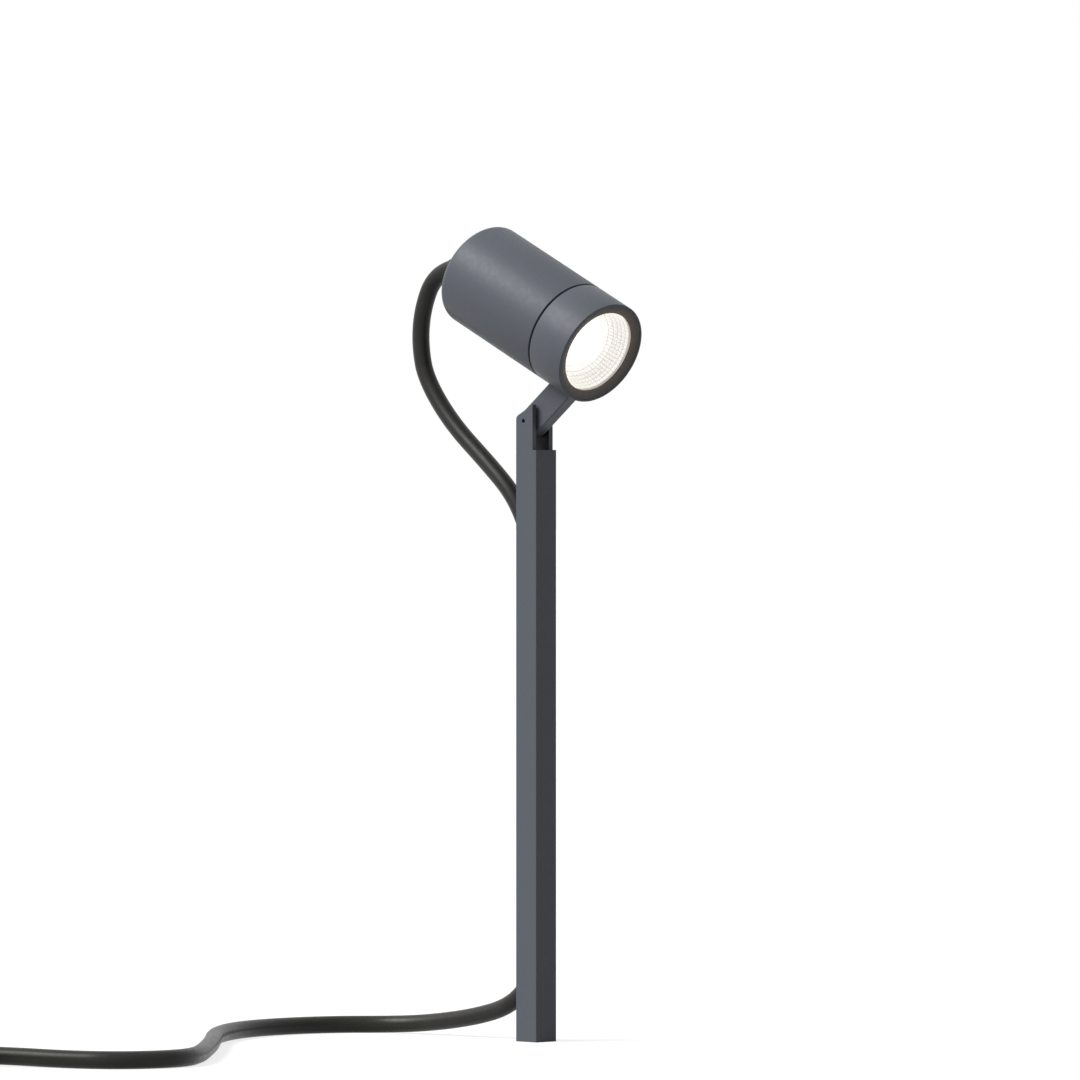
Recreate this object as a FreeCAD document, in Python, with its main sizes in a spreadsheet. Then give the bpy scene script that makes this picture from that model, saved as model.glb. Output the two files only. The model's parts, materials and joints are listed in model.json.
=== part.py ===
import FreeCAD, Part
import math
import os
import Sketcher
from FreeCAD import Placement, Rotation, Vector

# Garden spike spotlight, in millimetres. +Z is up, the origin is on the post's axis at ground
# level, the beam points towards -Y and the head tilts about an axis along X.
# A tubular head stands on a flat arm. The arm pivots between two ears of a square post, a
# channel that is open to the back and holds the cable. A finned spike goes into the ground.

SIZES = {
    # post
    "post_width": 16.0,
    "post_wall": 3.0,
    "post_edge_radius": 0.5,
    "front_wall_below_pivot": 16.3,
    "ear_above_pivot": 9.1,
    "ear_slope": 27.2,
    "ear_corner_radius": 3.0,
    # pivot
    "pivot_height": 348.1,
    "pivot_offset": 2.3,
    "pivot_pin_radius": 2.0,
    "pin_clearance": 0.02,
    "running_clearance": 0.05,
    "pin_socket_width": 2.3,
    "pin_socket_depth": 2.5,
    "washer_radius": 5.0,
    # arm
    "arm_width": 15.8,
    "arm_behind_pivot": 6.7,
    "arm_thickness": 8.0,
    "arm_lean": 26.9,
    "arm_edge_chamfer": 0.4,
    "arm_screw_radius": 1.5,
    "arm_screw_length": 9.0,
    "arm_screw_head_radius": 2.75,
    "arm_screw_head_height": 2.0,
    "arm_screw_socket_width": 2.0,
    "screw_socket_share": 0.6,
    "arm_screw_runout": 1.0,
    "arm_screw_front": 14.5,
    "arm_screw_pitch": 8.0,
    # head
    "head_radius": 30.0,
    "head_length": 106.5,
    "head_tilt": 25.6,
    "pivot_below_head": 26.8,
    "pivot_behind_front": 31.6,
    "front_length": 26.0,
    "groove_width": 1.3,
    "groove_depth": 1.4,
    "housing_wall": 3.0,
    "rear_wall": 4.0,
    "rear_corner_radius": 4.5,
    "rear_edge_chamfer": 0.25,
    "neck_wall": 1.7,
    "neck_length": 8.0,
    "neck_clearance": 0.1,
    "ledge_width": 1.5,
    # front glass and its rings
    "lip_wall": 1.4,
    "lip_chamfer": 0.3,
    "bezel_depth": 2.3,
    "bezel_recess": 0.3,
    "bezel_clearance": 0.1,
    "bezel_edge": 0.7,
    "lens_radius": 23.8,
    "lens_land": 0.3,
    "glass_thickness": 3.0,
    "glass_clearance": 0.4,
    "gasket_thickness": 1.6,
    "gasket_width": 2.8,
    # light engine
    "reflector_gap": 0.3,
    "reflector_rim": 0.6,
    "reflector_mouth_radius": 23.6,
    "reflector_foot_radius": 7.5,
    "reflector_wall": 1.0,
    "reflector_depth": 22.1,
    "reflector_curve_radius": 44.0,
    "holder_radius": 22.0,
    "holder_hole_radius": 8.4,
    "holder_thickness": 3.0,
    "holder_screw_radius": 1.5,
    "holder_screw_place": 17.5,
    "holder_screw_length": 8.0,
    "board_width": 20.0,
    "board_thickness": 1.4,
    "board_clearance": 0.2,
    "pad_thickness": 0.4,
    "emitter_radius": 6.5,
    "emitter_thickness": 0.5,
    "sink_flange": 3.4,
    "sink_clearance": 0.3,
    "fin_pitch": 6.0,
    "fin_slot": 4.2,
    "fin_slots": 8.0,
    "wiring_hole_radius": 3.2,
    "wiring_hole_place": 16.0,
    # driver
    "case_length": 18.0,
    "case_wall": 1.5,
    "case_clearance": 0.3,
    "circuit_thickness": 1.6,
    "circuit_clearance": 0.2,
    "lid_thickness": 2.0,
    "terminal_width": 17.0,
    "terminal_height": 10.0,
    "terminal_length": 8.0,
    "terminal_pitch": 5.0,
    "terminal_port_radius": 1.2,
    "terminal_port_depth": 3.0,
    "mains_room": 7.0,
    "wire_radius": 0.9,
    "wire_straight": 3.9,
    "led_wire_radius": 0.6,
    "transformer_width": 14.0,
    "transformer_depth": 12.0,
    "transformer_height": 11.0,
    "transformer_x": -7.0,
    "transformer_y": -6.0,
    "film_capacitor_width": 13.0,
    "film_capacitor_depth": 5.0,
    "film_capacitor_height": 9.0,
    "film_capacitor_x": -15.0,
    "film_capacitor_y": 9.0,
    "input_capacitor_radius": 4.0,
    "input_capacitor_height": 12.0,
    "input_capacitor_x": 13.0,
    "input_capacitor_y": 3.0,
    "output_capacitor_radius": 3.2,
    "output_capacitor_height": 11.0,
    "output_capacitor_x": -14.0,
    "output_capacitor_y": -6.0,
    "choke_radius": 4.5,
    "choke_height": 7.0,
    "choke_x": -4.0,
    "choke_y": -15.0,
    # cable gland
    "gland_radius": 7.9,
    "gland_bore_radius": 6.4,
    "gland_thread_clearance": 0.1,
    "gland_inside": 12.5,
    "gland_flange_radius": 10.0,
    "gland_flange_thickness": 1.5,
    "locknut_radius": 12.0,
    "locknut_thickness": 4.0,
    "seal_clearance": 0.1,
    "seal_length": 10.0,
    "relief_length": 20.0,
    "relief_root_radius": 6.4,
    "relief_tip_radius": 5.3,
    "relief_bend": 30.0,
    "loop_first_run": 6.7,
    # cable
    "cable_radius": 4.9,
    "core_offset": 2.2,
    "cable_top_below_pivot": 98.1,
    "cable_foot": 60.0,
    "clip_height": 10.0,
    "clip_thickness": 2.2,
    "clip_gap": 0.3,
    "clip_below_cable_top": 14.0,
    "clip_pitch": 76.0,
    "clip_count": 3.0,
    # spike
    "collar_height": 8.0,
    "tenon_height": 16.0,
    "tenon_clearance": 0.1,
    "spike_length": 172.0,
    "fin_width": 28.0,
    "fin_thickness": 3.2,
    "fin_tip": 2.4,
    "spike_screw_radius": 2.0,
    "spike_screw_head_radius": 3.6,
    "spike_screw_head_height": 2.2,
    "spike_screw_height": 8.0,
    "spike_screw_bite": 2.2,
    "screw_clearance": 0.15,
    # cable coil
    "coil_radius": 70.0,
    "coil_pitch": 10.3,
    "coil_height": 5.9,
    "tie_width": 10.0,
    "tie_thickness": 0.8,
    "tie_clearance": 0.6,
    # plug
    "plug_axis_height": 17.5,
    "plug_lead": 40.0,
    "protector_length": 28.0,
    "protector_tip_radius": 6.4,
    "protector_root_radius": 9.0,
    "plug_radius": 18.5,
    "plug_length": 40.0,
    "plug_shoulder": 14.0,
    "plug_edge_chamfer": 1.0,
    "plug_step": 1.0,
    "insert_radius": 15.9,
    "insert_depth": 2.0,
    "insert_clearance": 0.1,
    "plug_pin_radius": 2.4,
    "plug_pin_root_radius": 1.9,
    "plug_pin_length": 19.0,
    "plug_pin_pitch": 19.0,
    "plug_pin_chamfer": 1.0,
    "earth_clip_width": 8.0,
    "earth_clip_length": 20.0,
    "earth_clip_thickness": 0.8,
    "earth_clip_recess": 1.0,
    "earth_hole_radius": 2.6,
    "earth_hole_place": 10.0,
}

# The cable's free route from the head to the post, in the plane x = 0, as y and the height over
# the pivot. It starts at the strain relief's tip with one run straight out of it, and ends on the
# post's axis.
LOOP_ROUTE = (
    (80.8, 80.6),
    (86.7, 73.5),
    (92.2, 58.4),
    (92.9, 41.6),
    (88.5, 23.9),
    (68.1, -1.0),
    (36.4, -25.5),
    (17.9, -41.6),
    (6.6, -60.8),
    (0.0, -80.1),
)

# The route over the ground, from the channel's foot to the coil, as (x, y, height of the centre).
GROUND_ROUTE = (
    (0.0, 0.0, 44.0),
    (0.0, 8.7, 27.7),
    (0.0, 24.5, 17.8),
    (0.0, 47.0, 12.2),
    (0.2, 72.0, 8.4),
    (-1.0, 96.0, 5.9),
    (-7.0, 117.0, 4.9),
    (-24.0, 134.0, 4.9),
    (-50.0, 143.0, 4.9),
    (-82.0, 142.5, 4.9),
    (-113.0, 131.0, 4.9),
    (-148.0, 106.0, 4.9),
    (-189.0, 64.0, 4.9),
    (-231.0, 24.0, 4.9),
    (-268.0, -9.5, 4.9),
    (-291.0, -23.5, 4.9),
    (-314.0, -22.0, 4.9),
    (-333.0, -9.5, 4.9),
    (-344.0, 15.0, 4.9),
    (-357.0, 49.0, 5.9),
)
COIL_HEADING = 114.0
COIL_APPROACH = 52.0
COIL_QUARTERS = 21
CLIMB_QUARTER = 10
TIE_QUARTER = 2

doc = FreeCAD.newDocument("spotlight")
sheet = doc.addObject("Spreadsheet::Sheet", "Sizes")
for row, (alias, number) in enumerate(SIZES.items(), start=1):
    sheet.set(f"A{row}", alias)
    sheet.set(f"B{row}", str(number))
    sheet.setAlias(f"B{row}", alias)
doc.recompute()


class Size:
    """A number together with the sheet's expression for it, so that sums stay bound to the sheet."""

    def __init__(self, number, text):
        self.number = number
        self.text = text

    def __add__(self, other):
        other = as_size(other)
        return Size(self.number + other.number, f"({self.text} + {other.text})")

    def __sub__(self, other):
        other = as_size(other)
        return Size(self.number - other.number, f"({self.text} - {other.text})")

    def __mul__(self, other):
        other = as_size(other)
        return Size(self.number * other.number, f"({self.text} * {other.text})")

    def __truediv__(self, other):
        other = as_size(other)
        return Size(self.number / other.number, f"({self.text} / {other.text})")

    def __radd__(self, other):
        return as_size(other) + self

    def __rsub__(self, other):
        return as_size(other) - self

    def __rmul__(self, other):
        return as_size(other) * self

    def __neg__(self):
        return as_size(0) - self


def as_size(value):
    """A plain number as a Size."""
    if isinstance(value, Size):
        return value
    return Size(float(value), f"({float(value)})")


def cosine(angle):
    return Size(math.cos(math.radians(angle.number)), f"cos({angle.text} * 1 deg)")


def sine(angle):
    return Size(math.sin(math.radians(angle.number)), f"sin({angle.text} * 1 deg)")


def tangent(angle):
    return sine(angle) / cosine(angle)


class Dimensions:
    """The sheet's sizes by name, such as dim.post_width."""

    def __getattr__(self, alias):
        return Size(SIZES[alias], f"Sizes.{alias}")


dim = Dimensions()
finished = {}
IDENTITY = Placement()


# ---------------------------------------------------------------- building blocks


def bind(thing, **sizes):
    """Tie properties of a document object to the sheet."""
    for path, value in sizes.items():
        thing.setExpression(path, as_size(value).text)


def finish(label, thing, frame=None):
    """Name a sub-part, put it in its frame and list it for export."""
    thing.Label = label
    if frame is not None:
        thing.Placement = frame
    finished[label] = thing
    return thing


def origin_plane(body, role):
    return next(item for item in body.Origin.OriginFeatures if item.Role == role)


def new_sketch(body, role, name, lift=None):
    """An empty sketch on one of the body's origin planes, lifted off it along its normal."""
    sketch = body.newObject("Sketcher::SketchObject", name)
    sketch.AttachmentSupport = [(origin_plane(body, role), "")]
    sketch.MapMode = "FlatFace"
    if lift is not None:
        sketch.AttachmentOffset = Placement(Vector(0, 0, lift.number), Rotation())
        sketch.setExpression("AttachmentOffset.Base.z", lift.text)
    return sketch


def hold(sketch, axis, edge, end, value):
    """Fix one coordinate of a point of the sketch by a size of the sheet."""
    value = as_size(value)
    number = sketch.addConstraint(Sketcher.Constraint(axis, -1, 1, edge, end, value.number))
    sketch.setExpression(f"Constraints[{number}]", value.text)


def outline(body, role, name, corners, bends=None, lift=None):
    """A closed outline. An edge is straight, or an arc where bends gives its radius, which is
    negative where the edge turns clockwise. Every corner and radius is tied to the sheet."""
    sketch = new_sketch(body, role, name, lift)
    bends = bends or {}
    points = [Vector(as_size(x).number, as_size(y).number, 0) for x, y in corners]
    ends = []
    for index, start in enumerate(points):
        stop = points[(index + 1) % len(points)]
        if index not in bends:
            sketch.addGeometry(Part.LineSegment(start, stop))
            ends.append((1, 2))
            continue
        radius = bends[index].number
        chord = stop - start
        side = Vector(chord.y, -chord.x, 0).normalize() * math.copysign(1, radius)
        rise = abs(radius) - math.sqrt(radius**2 - (chord.Length / 2) ** 2)
        sketch.addGeometry(Part.Arc(start, (start + stop) * 0.5 + side * rise, stop))
        ends.append((1, 2) if radius > 0 else (2, 1))
    count = len(points)
    for index in range(count):
        following = (index + 1) % count
        sketch.addConstraint(
            Sketcher.Constraint("Coincident", index, ends[index][1], following, ends[following][0])
        )
    for index, (x, y) in enumerate(corners):
        hold(sketch, "DistanceX", index, ends[index][0], x)
        hold(sketch, "DistanceY", index, ends[index][0], y)
    for index, bend in bends.items():
        size = bend if bend.number > 0 else -bend
        number = sketch.addConstraint(Sketcher.Constraint("Radius", index, size.number))
        sketch.setExpression(f"Constraints[{number}]", size.text)
    return sketch


def circles(body, role, name, places, radius, lift=None):
    """A sketch of equal circles, each at its (x, y)."""
    sketch = new_sketch(body, role, name, lift)
    for index, (x, y) in enumerate(places):
        centre = Vector(as_size(x).number, as_size(y).number, 0)
        sketch.addGeometry(Part.Circle(centre, Vector(0, 0, 1), radius.number))
        hold(sketch, "DistanceX", index, 3, x)
        hold(sketch, "DistanceY", index, 3, y)
        number = sketch.addConstraint(Sketcher.Constraint("Radius", index, radius.number))
        sketch.setExpression(f"Constraints[{number}]", radius.text)
    return sketch


def rectangle(x0, x1, y0, y1):
    return ((x0, y0), (x1, y0), (x1, y1), (x0, y1))


def pad(body, sketch, length, both=False, backwards=False):
    """Extrude a sketch along its normal, or half to each side."""
    feature = body.newObject("PartDesign::Pad", f"{sketch.Name}_pad")
    feature.Profile = sketch
    feature.SideType = "Symmetric" if both else "One side"
    feature.Reversed = backwards
    bind(feature, Length=length)
    return feature


def pocket(body, sketch, depth=None, both=False, backwards=False):
    """Cut a sketch into the body to a depth against its normal, or right through."""
    feature = body.newObject("PartDesign::Pocket", f"{sketch.Name}_pocket")
    feature.Profile = sketch
    feature.SideType = "Symmetric" if both else "One side"
    feature.Reversed = backwards
    if depth is None:
        feature.Type = "ThroughAll"
    else:
        bind(feature, Length=depth)
    return feature


def turned(label, corners, frame, bends=None):
    """A body of revolution about its Z axis, from corners at (radius, height)."""
    body = doc.addObject("PartDesign::Body", label)
    profile = outline(body, "XZ_Plane", f"{label}_profile", corners, bends)
    feature = body.newObject("PartDesign::Revolution", f"{label}_turn")
    feature.Profile = profile
    feature.ReferenceAxis = (profile, ["V_Axis"])
    feature.Angle = 360
    return finish(label, body, frame)


def ring(inner, outer, bottom, top):
    """Corners of a plain ring or, with an inner radius of 0, of a disc."""
    return ((inner, bottom), (outer, bottom), (outer, top), (inner, top))


def dress_edges(body, kind, name, wanted, size):
    """Fillet or chamfer the edges of the body's tip that the test picks out."""
    doc.recompute()
    base = body.Tip
    edges = [f"Edge{i}" for i, edge in enumerate(base.Shape.Edges, start=1) if wanted(edge)]
    feature = body.newObject(f"PartDesign::{kind}", name)
    feature.Base = (base, edges)
    bind(feature, **{"Radius" if kind == "Fillet" else "Size": size})
    return feature


def cylinder(name, radius, height, frame):
    shape = doc.addObject("Part::Cylinder", name)
    bind(shape, Radius=radius, Height=height)
    shape.Placement = frame
    return shape


def block(name, width, depth, height, frame):
    shape = doc.addObject("Part::Box", name)
    bind(shape, Length=width, Width=depth, Height=height)
    shape.Placement = frame
    return shape


def hexagon(name, width, height, frame):
    """A six-sided prism, by its width across flats."""
    shape = doc.addObject("Part::Prism", name)
    shape.Polygon = 6
    bind(shape, Circumradius=width / math.sqrt(3), Height=height)
    shape.Placement = frame
    return shape


def cut(name, base, tool):
    shape = doc.addObject("Part::Cut", name)
    shape.Base = base
    shape.Tool = tool
    return shape


def fuse(name, shapes):
    shape = doc.addObject("Part::MultiFuse", name)
    shape.Shapes = shapes
    return shape


def group(label, shapes, frame=None):
    """Separate like solids under one name."""
    compound = doc.addObject("Part::Compound", label)
    compound.Links = shapes
    return finish(label, compound, frame)


def at(x, y, z, axis=None):
    """A placement whose Z axis points along the given direction."""
    numbers = [as_size(value).number for value in (x, y, z)]
    turn = Rotation() if axis is None else Rotation(Vector(0, 0, 1), Vector(*axis))
    return Placement(Vector(*numbers), turn)


def socket_screw(name, radius, length, head_radius, head_height, socket, frame):
    """A cap screw: its head's underside is at the frame's origin, its shank along the frame's Z."""
    shank = cylinder(f"{name}_shank", radius, length, IDENTITY)
    head = cylinder(f"{name}_head", head_radius, head_height, at(0, 0, -head_height))
    solid = fuse(f"{name}_solid", [shank, head])
    drive = hexagon(f"{name}_drive", socket, head_height * dim.screw_socket_share, at(0, 0, -head_height))
    screw = cut(name, solid, drive)
    screw.Placement = frame
    return screw


# ---------------------------------------------------------------- cable


def rounded_route(points):
    """Straight runs joined by tangent arcs, and the radii of those arcs."""
    edges, radii = [], []
    start = points[0]
    for before, corner, after in zip(points, points[1:], points[2:]):
        arriving = corner - before
        leaving = after - corner
        half_turn = arriving.getAngle(leaving) / 2
        reach = 0.45 * min(arriving.Length, leaving.Length)
        radius = reach / math.tan(half_turn)
        arriving.normalize()
        leaving.normalize()
        first = corner - arriving * reach
        last = corner + leaving * reach
        middle = (leaving - arriving).normalize()
        bulge = corner + middle * (radius / math.cos(half_turn) - radius)
        edges.append(Part.LineSegment(start, first).toShape())
        edges.append(Part.Arc(first, bulge, last).toShape())
        radii.append(round(radius, 1))
        start = last
    edges.append(Part.LineSegment(start, points[-1]).toShape())
    return edges, radii


def arc_between(start, direction, stop):
    """The edge that leaves start along a direction and ends at stop."""
    chord = stop - start
    along = Vector(chord).normalize()
    aside = direction - along * direction.dot(along)
    if aside.Length < 1e-6:
        return Part.LineSegment(start, stop).toShape()
    half_angle = direction.getAngle(along)
    rise = chord.Length / 2 * math.tan(half_angle / 2)
    middle = (start + stop) * 0.5 + aside.normalize() * rise
    return Part.Arc(start, middle, stop).toShape()


def biarc(start, start_way, stop, stop_way):
    """Two tangent arcs between two points with given directions."""
    span = stop - start
    ways = start_way + stop_way
    curve = 2 * (1 - start_way.dot(stop_way))
    linear = span.dot(ways)
    if curve < 1e-9:
        reach = span.dot(span) / (2 * linear)
    else:
        reach = (math.sqrt(linear**2 + curve * span.dot(span)) - linear) / curve
    joint = (start + start_way * reach + stop - stop_way * reach) * 0.5
    back = arc_between(stop, stop_way * -1, joint)
    back.reverse()
    return [arc_between(start, start_way, joint), back]


def tube(label, edges, radius):
    """A solid round tube along joined edges, checked against its section times its length."""
    wire = Part.Wire(edges)
    start = wire.OrderedEdges[0]
    first = start.FirstParameter if start.Orientation == "Forward" else start.LastParameter
    point = start.valueAt(first)
    direction = start.tangentAt(first)
    if start.Orientation != "Forward":
        direction = direction * -1
    section = Part.Wire([Part.Circle(point, direction, radius).toShape()])
    solid = wire.makePipeShell([section], True, False)
    expected = math.pi * radius**2 * wire.Length
    print(f"{label}: length {wire.Length:.1f}, volume {solid.Volume:.0f} of {expected:.0f}")
    if abs(solid.Volume / expected - 1) > 0.01:
        raise ValueError(f"{label}: the tube's volume is off its section times its length")
    thing = doc.addObject("Part::Feature", label)
    thing.Shape = solid
    finish(label, thing)
    return wire


def least_gap(wire, diameter, apart):
    """The smallest gap between stretches of one tube that are at least so far apart along it."""
    step = 4.0
    points = wire.discretize(Distance=step)
    skip = int(apart / step)
    nearest = min(
        here.distanceToPoint(there)
        for index, here in enumerate(points)
        for there in points[index + skip:]
    )
    return nearest - diameter


# ---------------------------------------------------------------- frames shared by several pieces

ear_height = dim.pivot_height + dim.ear_above_pivot
front_wall_height = dim.pivot_height - dim.front_wall_below_pivot
cable_top = dim.pivot_height - dim.cable_top_below_pivot
clip_top = cable_top - dim.clip_below_cable_top
post_half = dim.post_width / 2
slot_half = post_half - dim.post_wall
arm_half = dim.arm_thickness / 2

# Head pieces are drawn with the beam along -Z, the front edge at z = 0 and the underside at +Y.
head_turn = Rotation(Vector(1, 0, 0), dim.head_tilt.number - 90)
pivot_in_head = Vector(0, (dim.head_radius + dim.pivot_below_head).number, dim.pivot_behind_front.number)
pivot = Vector(0, dim.pivot_offset.number, dim.pivot_height.number)
HEAD = Placement(pivot - head_turn.multVec(pivot_in_head), head_turn)

ledge_depth = dim.front_length + dim.groove_width
housing_bore = dim.head_radius - dim.housing_wall
neck_radius = housing_bore - dim.neck_clearance
neck_bore = neck_radius - dim.neck_wall
neck_end = dim.front_length + dim.neck_length
arm_screw_seat = neck_bore + dim.arm_screw_head_height + dim.screw_clearance
seat_radius = dim.head_radius - dim.lip_wall
glass_front = dim.bezel_depth
glass_back = glass_front + dim.glass_thickness
seat_depth = glass_back + dim.gasket_thickness
reflector_front = glass_back + dim.reflector_gap
holder_front = reflector_front + dim.reflector_depth
sink_front = holder_front + dim.holder_thickness
sink_shoulder = neck_end
sink_back = sink_shoulder + dim.sink_flange
inner_radius = housing_bore - dim.ledge_width
rear_inside = dim.head_length - dim.rear_wall
gland_front = dim.head_length - dim.gland_inside
terminal_back = gland_front - dim.mains_room
lid_back = terminal_back - dim.terminal_length
case_back = lid_back - dim.lid_thickness
fins_back = case_back - dim.case_length
flange_back = dim.head_length + dim.gland_flange_thickness


# ---------------------------------------------------------------- head


def front_housing():
    """The front third of the tube, with the seat for the glass and a neck for the rear part."""
    corners = (
        (seat_radius, 0),
        (dim.head_radius - dim.lip_chamfer, 0),
        (dim.head_radius, dim.lip_chamfer),
        (dim.head_radius, dim.front_length - dim.rear_edge_chamfer),
        (dim.head_radius - dim.rear_edge_chamfer, dim.front_length),
        (neck_radius, dim.front_length),
        (neck_radius, neck_end),
        (neck_bore, neck_end),
        (neck_bore, seat_depth),
        (seat_radius, seat_depth),
    )
    body = turned("front_housing", corners, HEAD)
    places = [(0, dim.arm_screw_front + index * dim.arm_screw_pitch) for index in range(2)]
    holes = circles(body, "XZ_Plane", "housing_holes", places, dim.arm_screw_radius + dim.screw_clearance)
    pocket(body, holes)
    wells = circles(
        body, "XZ_Plane", "housing_wells", places, dim.arm_screw_head_radius + dim.screw_clearance
    )
    pocket(body, wells, arm_screw_seat)


def arm():
    """The flat bar between the ears, cut to sit against the round of the head."""
    body = doc.addObject("PartDesign::Body", "arm")
    rear_gap = dim.arm_behind_pivot
    end_radius = dim.arm_width - rear_gap
    rise = cosine(dim.arm_lean)
    lean = sine(dim.arm_lean)
    pivot_y = dim.head_radius + dim.pivot_below_head
    pivot_z = dim.pivot_behind_front

    def along(reach, rearward):
        """A point at a reach from the pivot towards the head, and so far to the bar's rear."""
        reach = as_size(reach)
        rearward = as_size(rearward)
        return (
            pivot_y - reach * rise - rearward * lean,
            pivot_z - reach * lean + rearward * rise,
        )

    tail_squared = end_radius * end_radius - rear_gap * rear_gap
    tail = Size(math.sqrt(tail_squared.number), f"sqrt({tail_squared.text})")
    reach = dim.pivot_below_head + dim.head_radius / 2
    corners = (
        along(-tail, rear_gap),
        along(reach, rear_gap),
        along(reach, -end_radius),
        along(0, -end_radius),
    )
    side = outline(body, "YZ_Plane", "arm_side", corners, {3: end_radius})
    pad(body, side, dim.arm_thickness, both=True)
    saddle = circles(body, "XY_Plane", "arm_saddle", [(0, 0)], dim.head_radius)
    pocket(body, saddle, both=True)
    bore = circles(
        body, "YZ_Plane", "arm_bore", [(pivot_y, pivot_z)], dim.pivot_pin_radius + dim.running_clearance
    )
    pocket(body, bore, both=True)
    places = [(0, dim.arm_screw_front + index * dim.arm_screw_pitch) for index in range(2)]
    holes = circles(body, "XZ_Plane", "arm_tapped_holes", places, dim.arm_screw_radius)
    pocket(body, holes, arm_screw_seat + dim.arm_screw_length + dim.arm_screw_runout)

    def side_edge(edge):
        box = edge.BoundBox
        on_side = box.XLength < 0.01 and abs(abs(box.XMin) - arm_half.number) < 0.01
        return on_side and box.YMax > dim.head_radius.number and not edge.isClosed()

    dress_edges(body, "Chamfer", "arm_edges", side_edge, dim.arm_edge_chamfer)
    finish("arm", body, HEAD)


def arm_screws():
    """Two cap screws from inside the front housing into the arm."""
    screws = [
        socket_screw(
            f"arm_screw_{index + 1}",
            dim.arm_screw_radius,
            dim.arm_screw_length,
            dim.arm_screw_head_radius,
            dim.arm_screw_head_height,
            dim.arm_screw_socket_width,
            at(0, arm_screw_seat, dim.arm_screw_front + index * dim.arm_screw_pitch, (0, 1, 0)),
        )
        for index in range(2)
    ]
    group("arm_screws", screws, HEAD)


def front_rings():
    """Bezel, glass and gasket, stacked in the front housing's seat."""
    bezel_radius = seat_radius - dim.bezel_clearance
    turned(
        "bezel_ring",
        (
            (bezel_radius - dim.bezel_edge, dim.bezel_recess),
            (bezel_radius, dim.bezel_recess),
            (bezel_radius, glass_front),
            (dim.lens_radius, glass_front),
            (dim.lens_radius, glass_front - dim.lens_land),
        ),
        HEAD,
    )
    glass_radius = seat_radius - dim.glass_clearance
    turned("front_glass", ring(0, glass_radius, glass_front, glass_back), HEAD)
    turned("glass_gasket", ring(glass_radius - dim.gasket_width, glass_radius, glass_back, seat_depth), HEAD)
    seal_outer = dim.head_radius - dim.groove_depth
    turned("housing_seal", ring(neck_radius, seal_outer, dim.front_length, ledge_depth), HEAD)


def reflector():
    """A bowl whose mouth is behind the glass and whose foot stands on the light source's holder."""
    rim_radius = dim.reflector_mouth_radius + dim.reflector_wall + dim.reflector_rim
    rim_back = reflector_front + dim.reflector_wall
    foot_outer = dim.reflector_foot_radius + dim.reflector_wall
    corners = (
        (dim.reflector_mouth_radius, reflector_front),
        (rim_radius, reflector_front),
        (rim_radius, rim_back),
        (dim.reflector_mouth_radius + dim.reflector_wall, rim_back),
        (foot_outer, holder_front),
        (dim.reflector_foot_radius, holder_front),
    )
    outer_curve = dim.reflector_curve_radius + dim.reflector_wall
    turned("reflector", corners, HEAD, {3: outer_curve, 5: -dim.reflector_curve_radius})


def light_source():
    """Holder, board, emitter and thermal pad on the front of the heat sink."""
    holder = turned(
        "led_holder", ring(dim.holder_hole_radius, dim.holder_radius, holder_front, sink_front), HEAD
    )
    half = dim.board_width / 2 + dim.board_clearance
    recess_depth = dim.board_thickness + dim.pad_thickness
    square = rectangle(-half, half, -half, half)
    recess = outline(holder, "XY_Plane", "holder_recess", square, lift=sink_front)
    pocket(holder, recess, recess_depth)
    places = ((dim.holder_screw_place, 0), (-dim.holder_screw_place, 0))
    clear = dim.holder_screw_radius + dim.screw_clearance
    pocket(holder, circles(holder, "XY_Plane", "holder_holes", places, clear), both=True)

    half = dim.board_width / 2
    square = rectangle(-half, half, -half, half)
    pad_front = sink_front - dim.pad_thickness
    for label, front, thickness in (
        ("thermal_pad", pad_front, dim.pad_thickness),
        ("led_board", pad_front - dim.board_thickness, dim.board_thickness),
    ):
        body = doc.addObject("PartDesign::Body", label)
        pad(body, outline(body, "XY_Plane", f"{label}_square", square, lift=front), thickness)
        finish(label, body, HEAD)
    board_front = pad_front - dim.board_thickness
    emitter_front = board_front - dim.emitter_thickness
    turned("led_emitter", ring(0, dim.emitter_radius, emitter_front, board_front), HEAD)

    screws = [
        socket_screw(
            f"holder_screw_{index + 1}",
            dim.holder_screw_radius,
            dim.holder_screw_length,
            dim.arm_screw_head_radius,
            dim.arm_screw_head_height,
            dim.arm_screw_socket_width,
            at(x, y, holder_front),
        )
        for index, (x, y) in enumerate(places)
    ]
    group("holder_screws", screws, HEAD)


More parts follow.
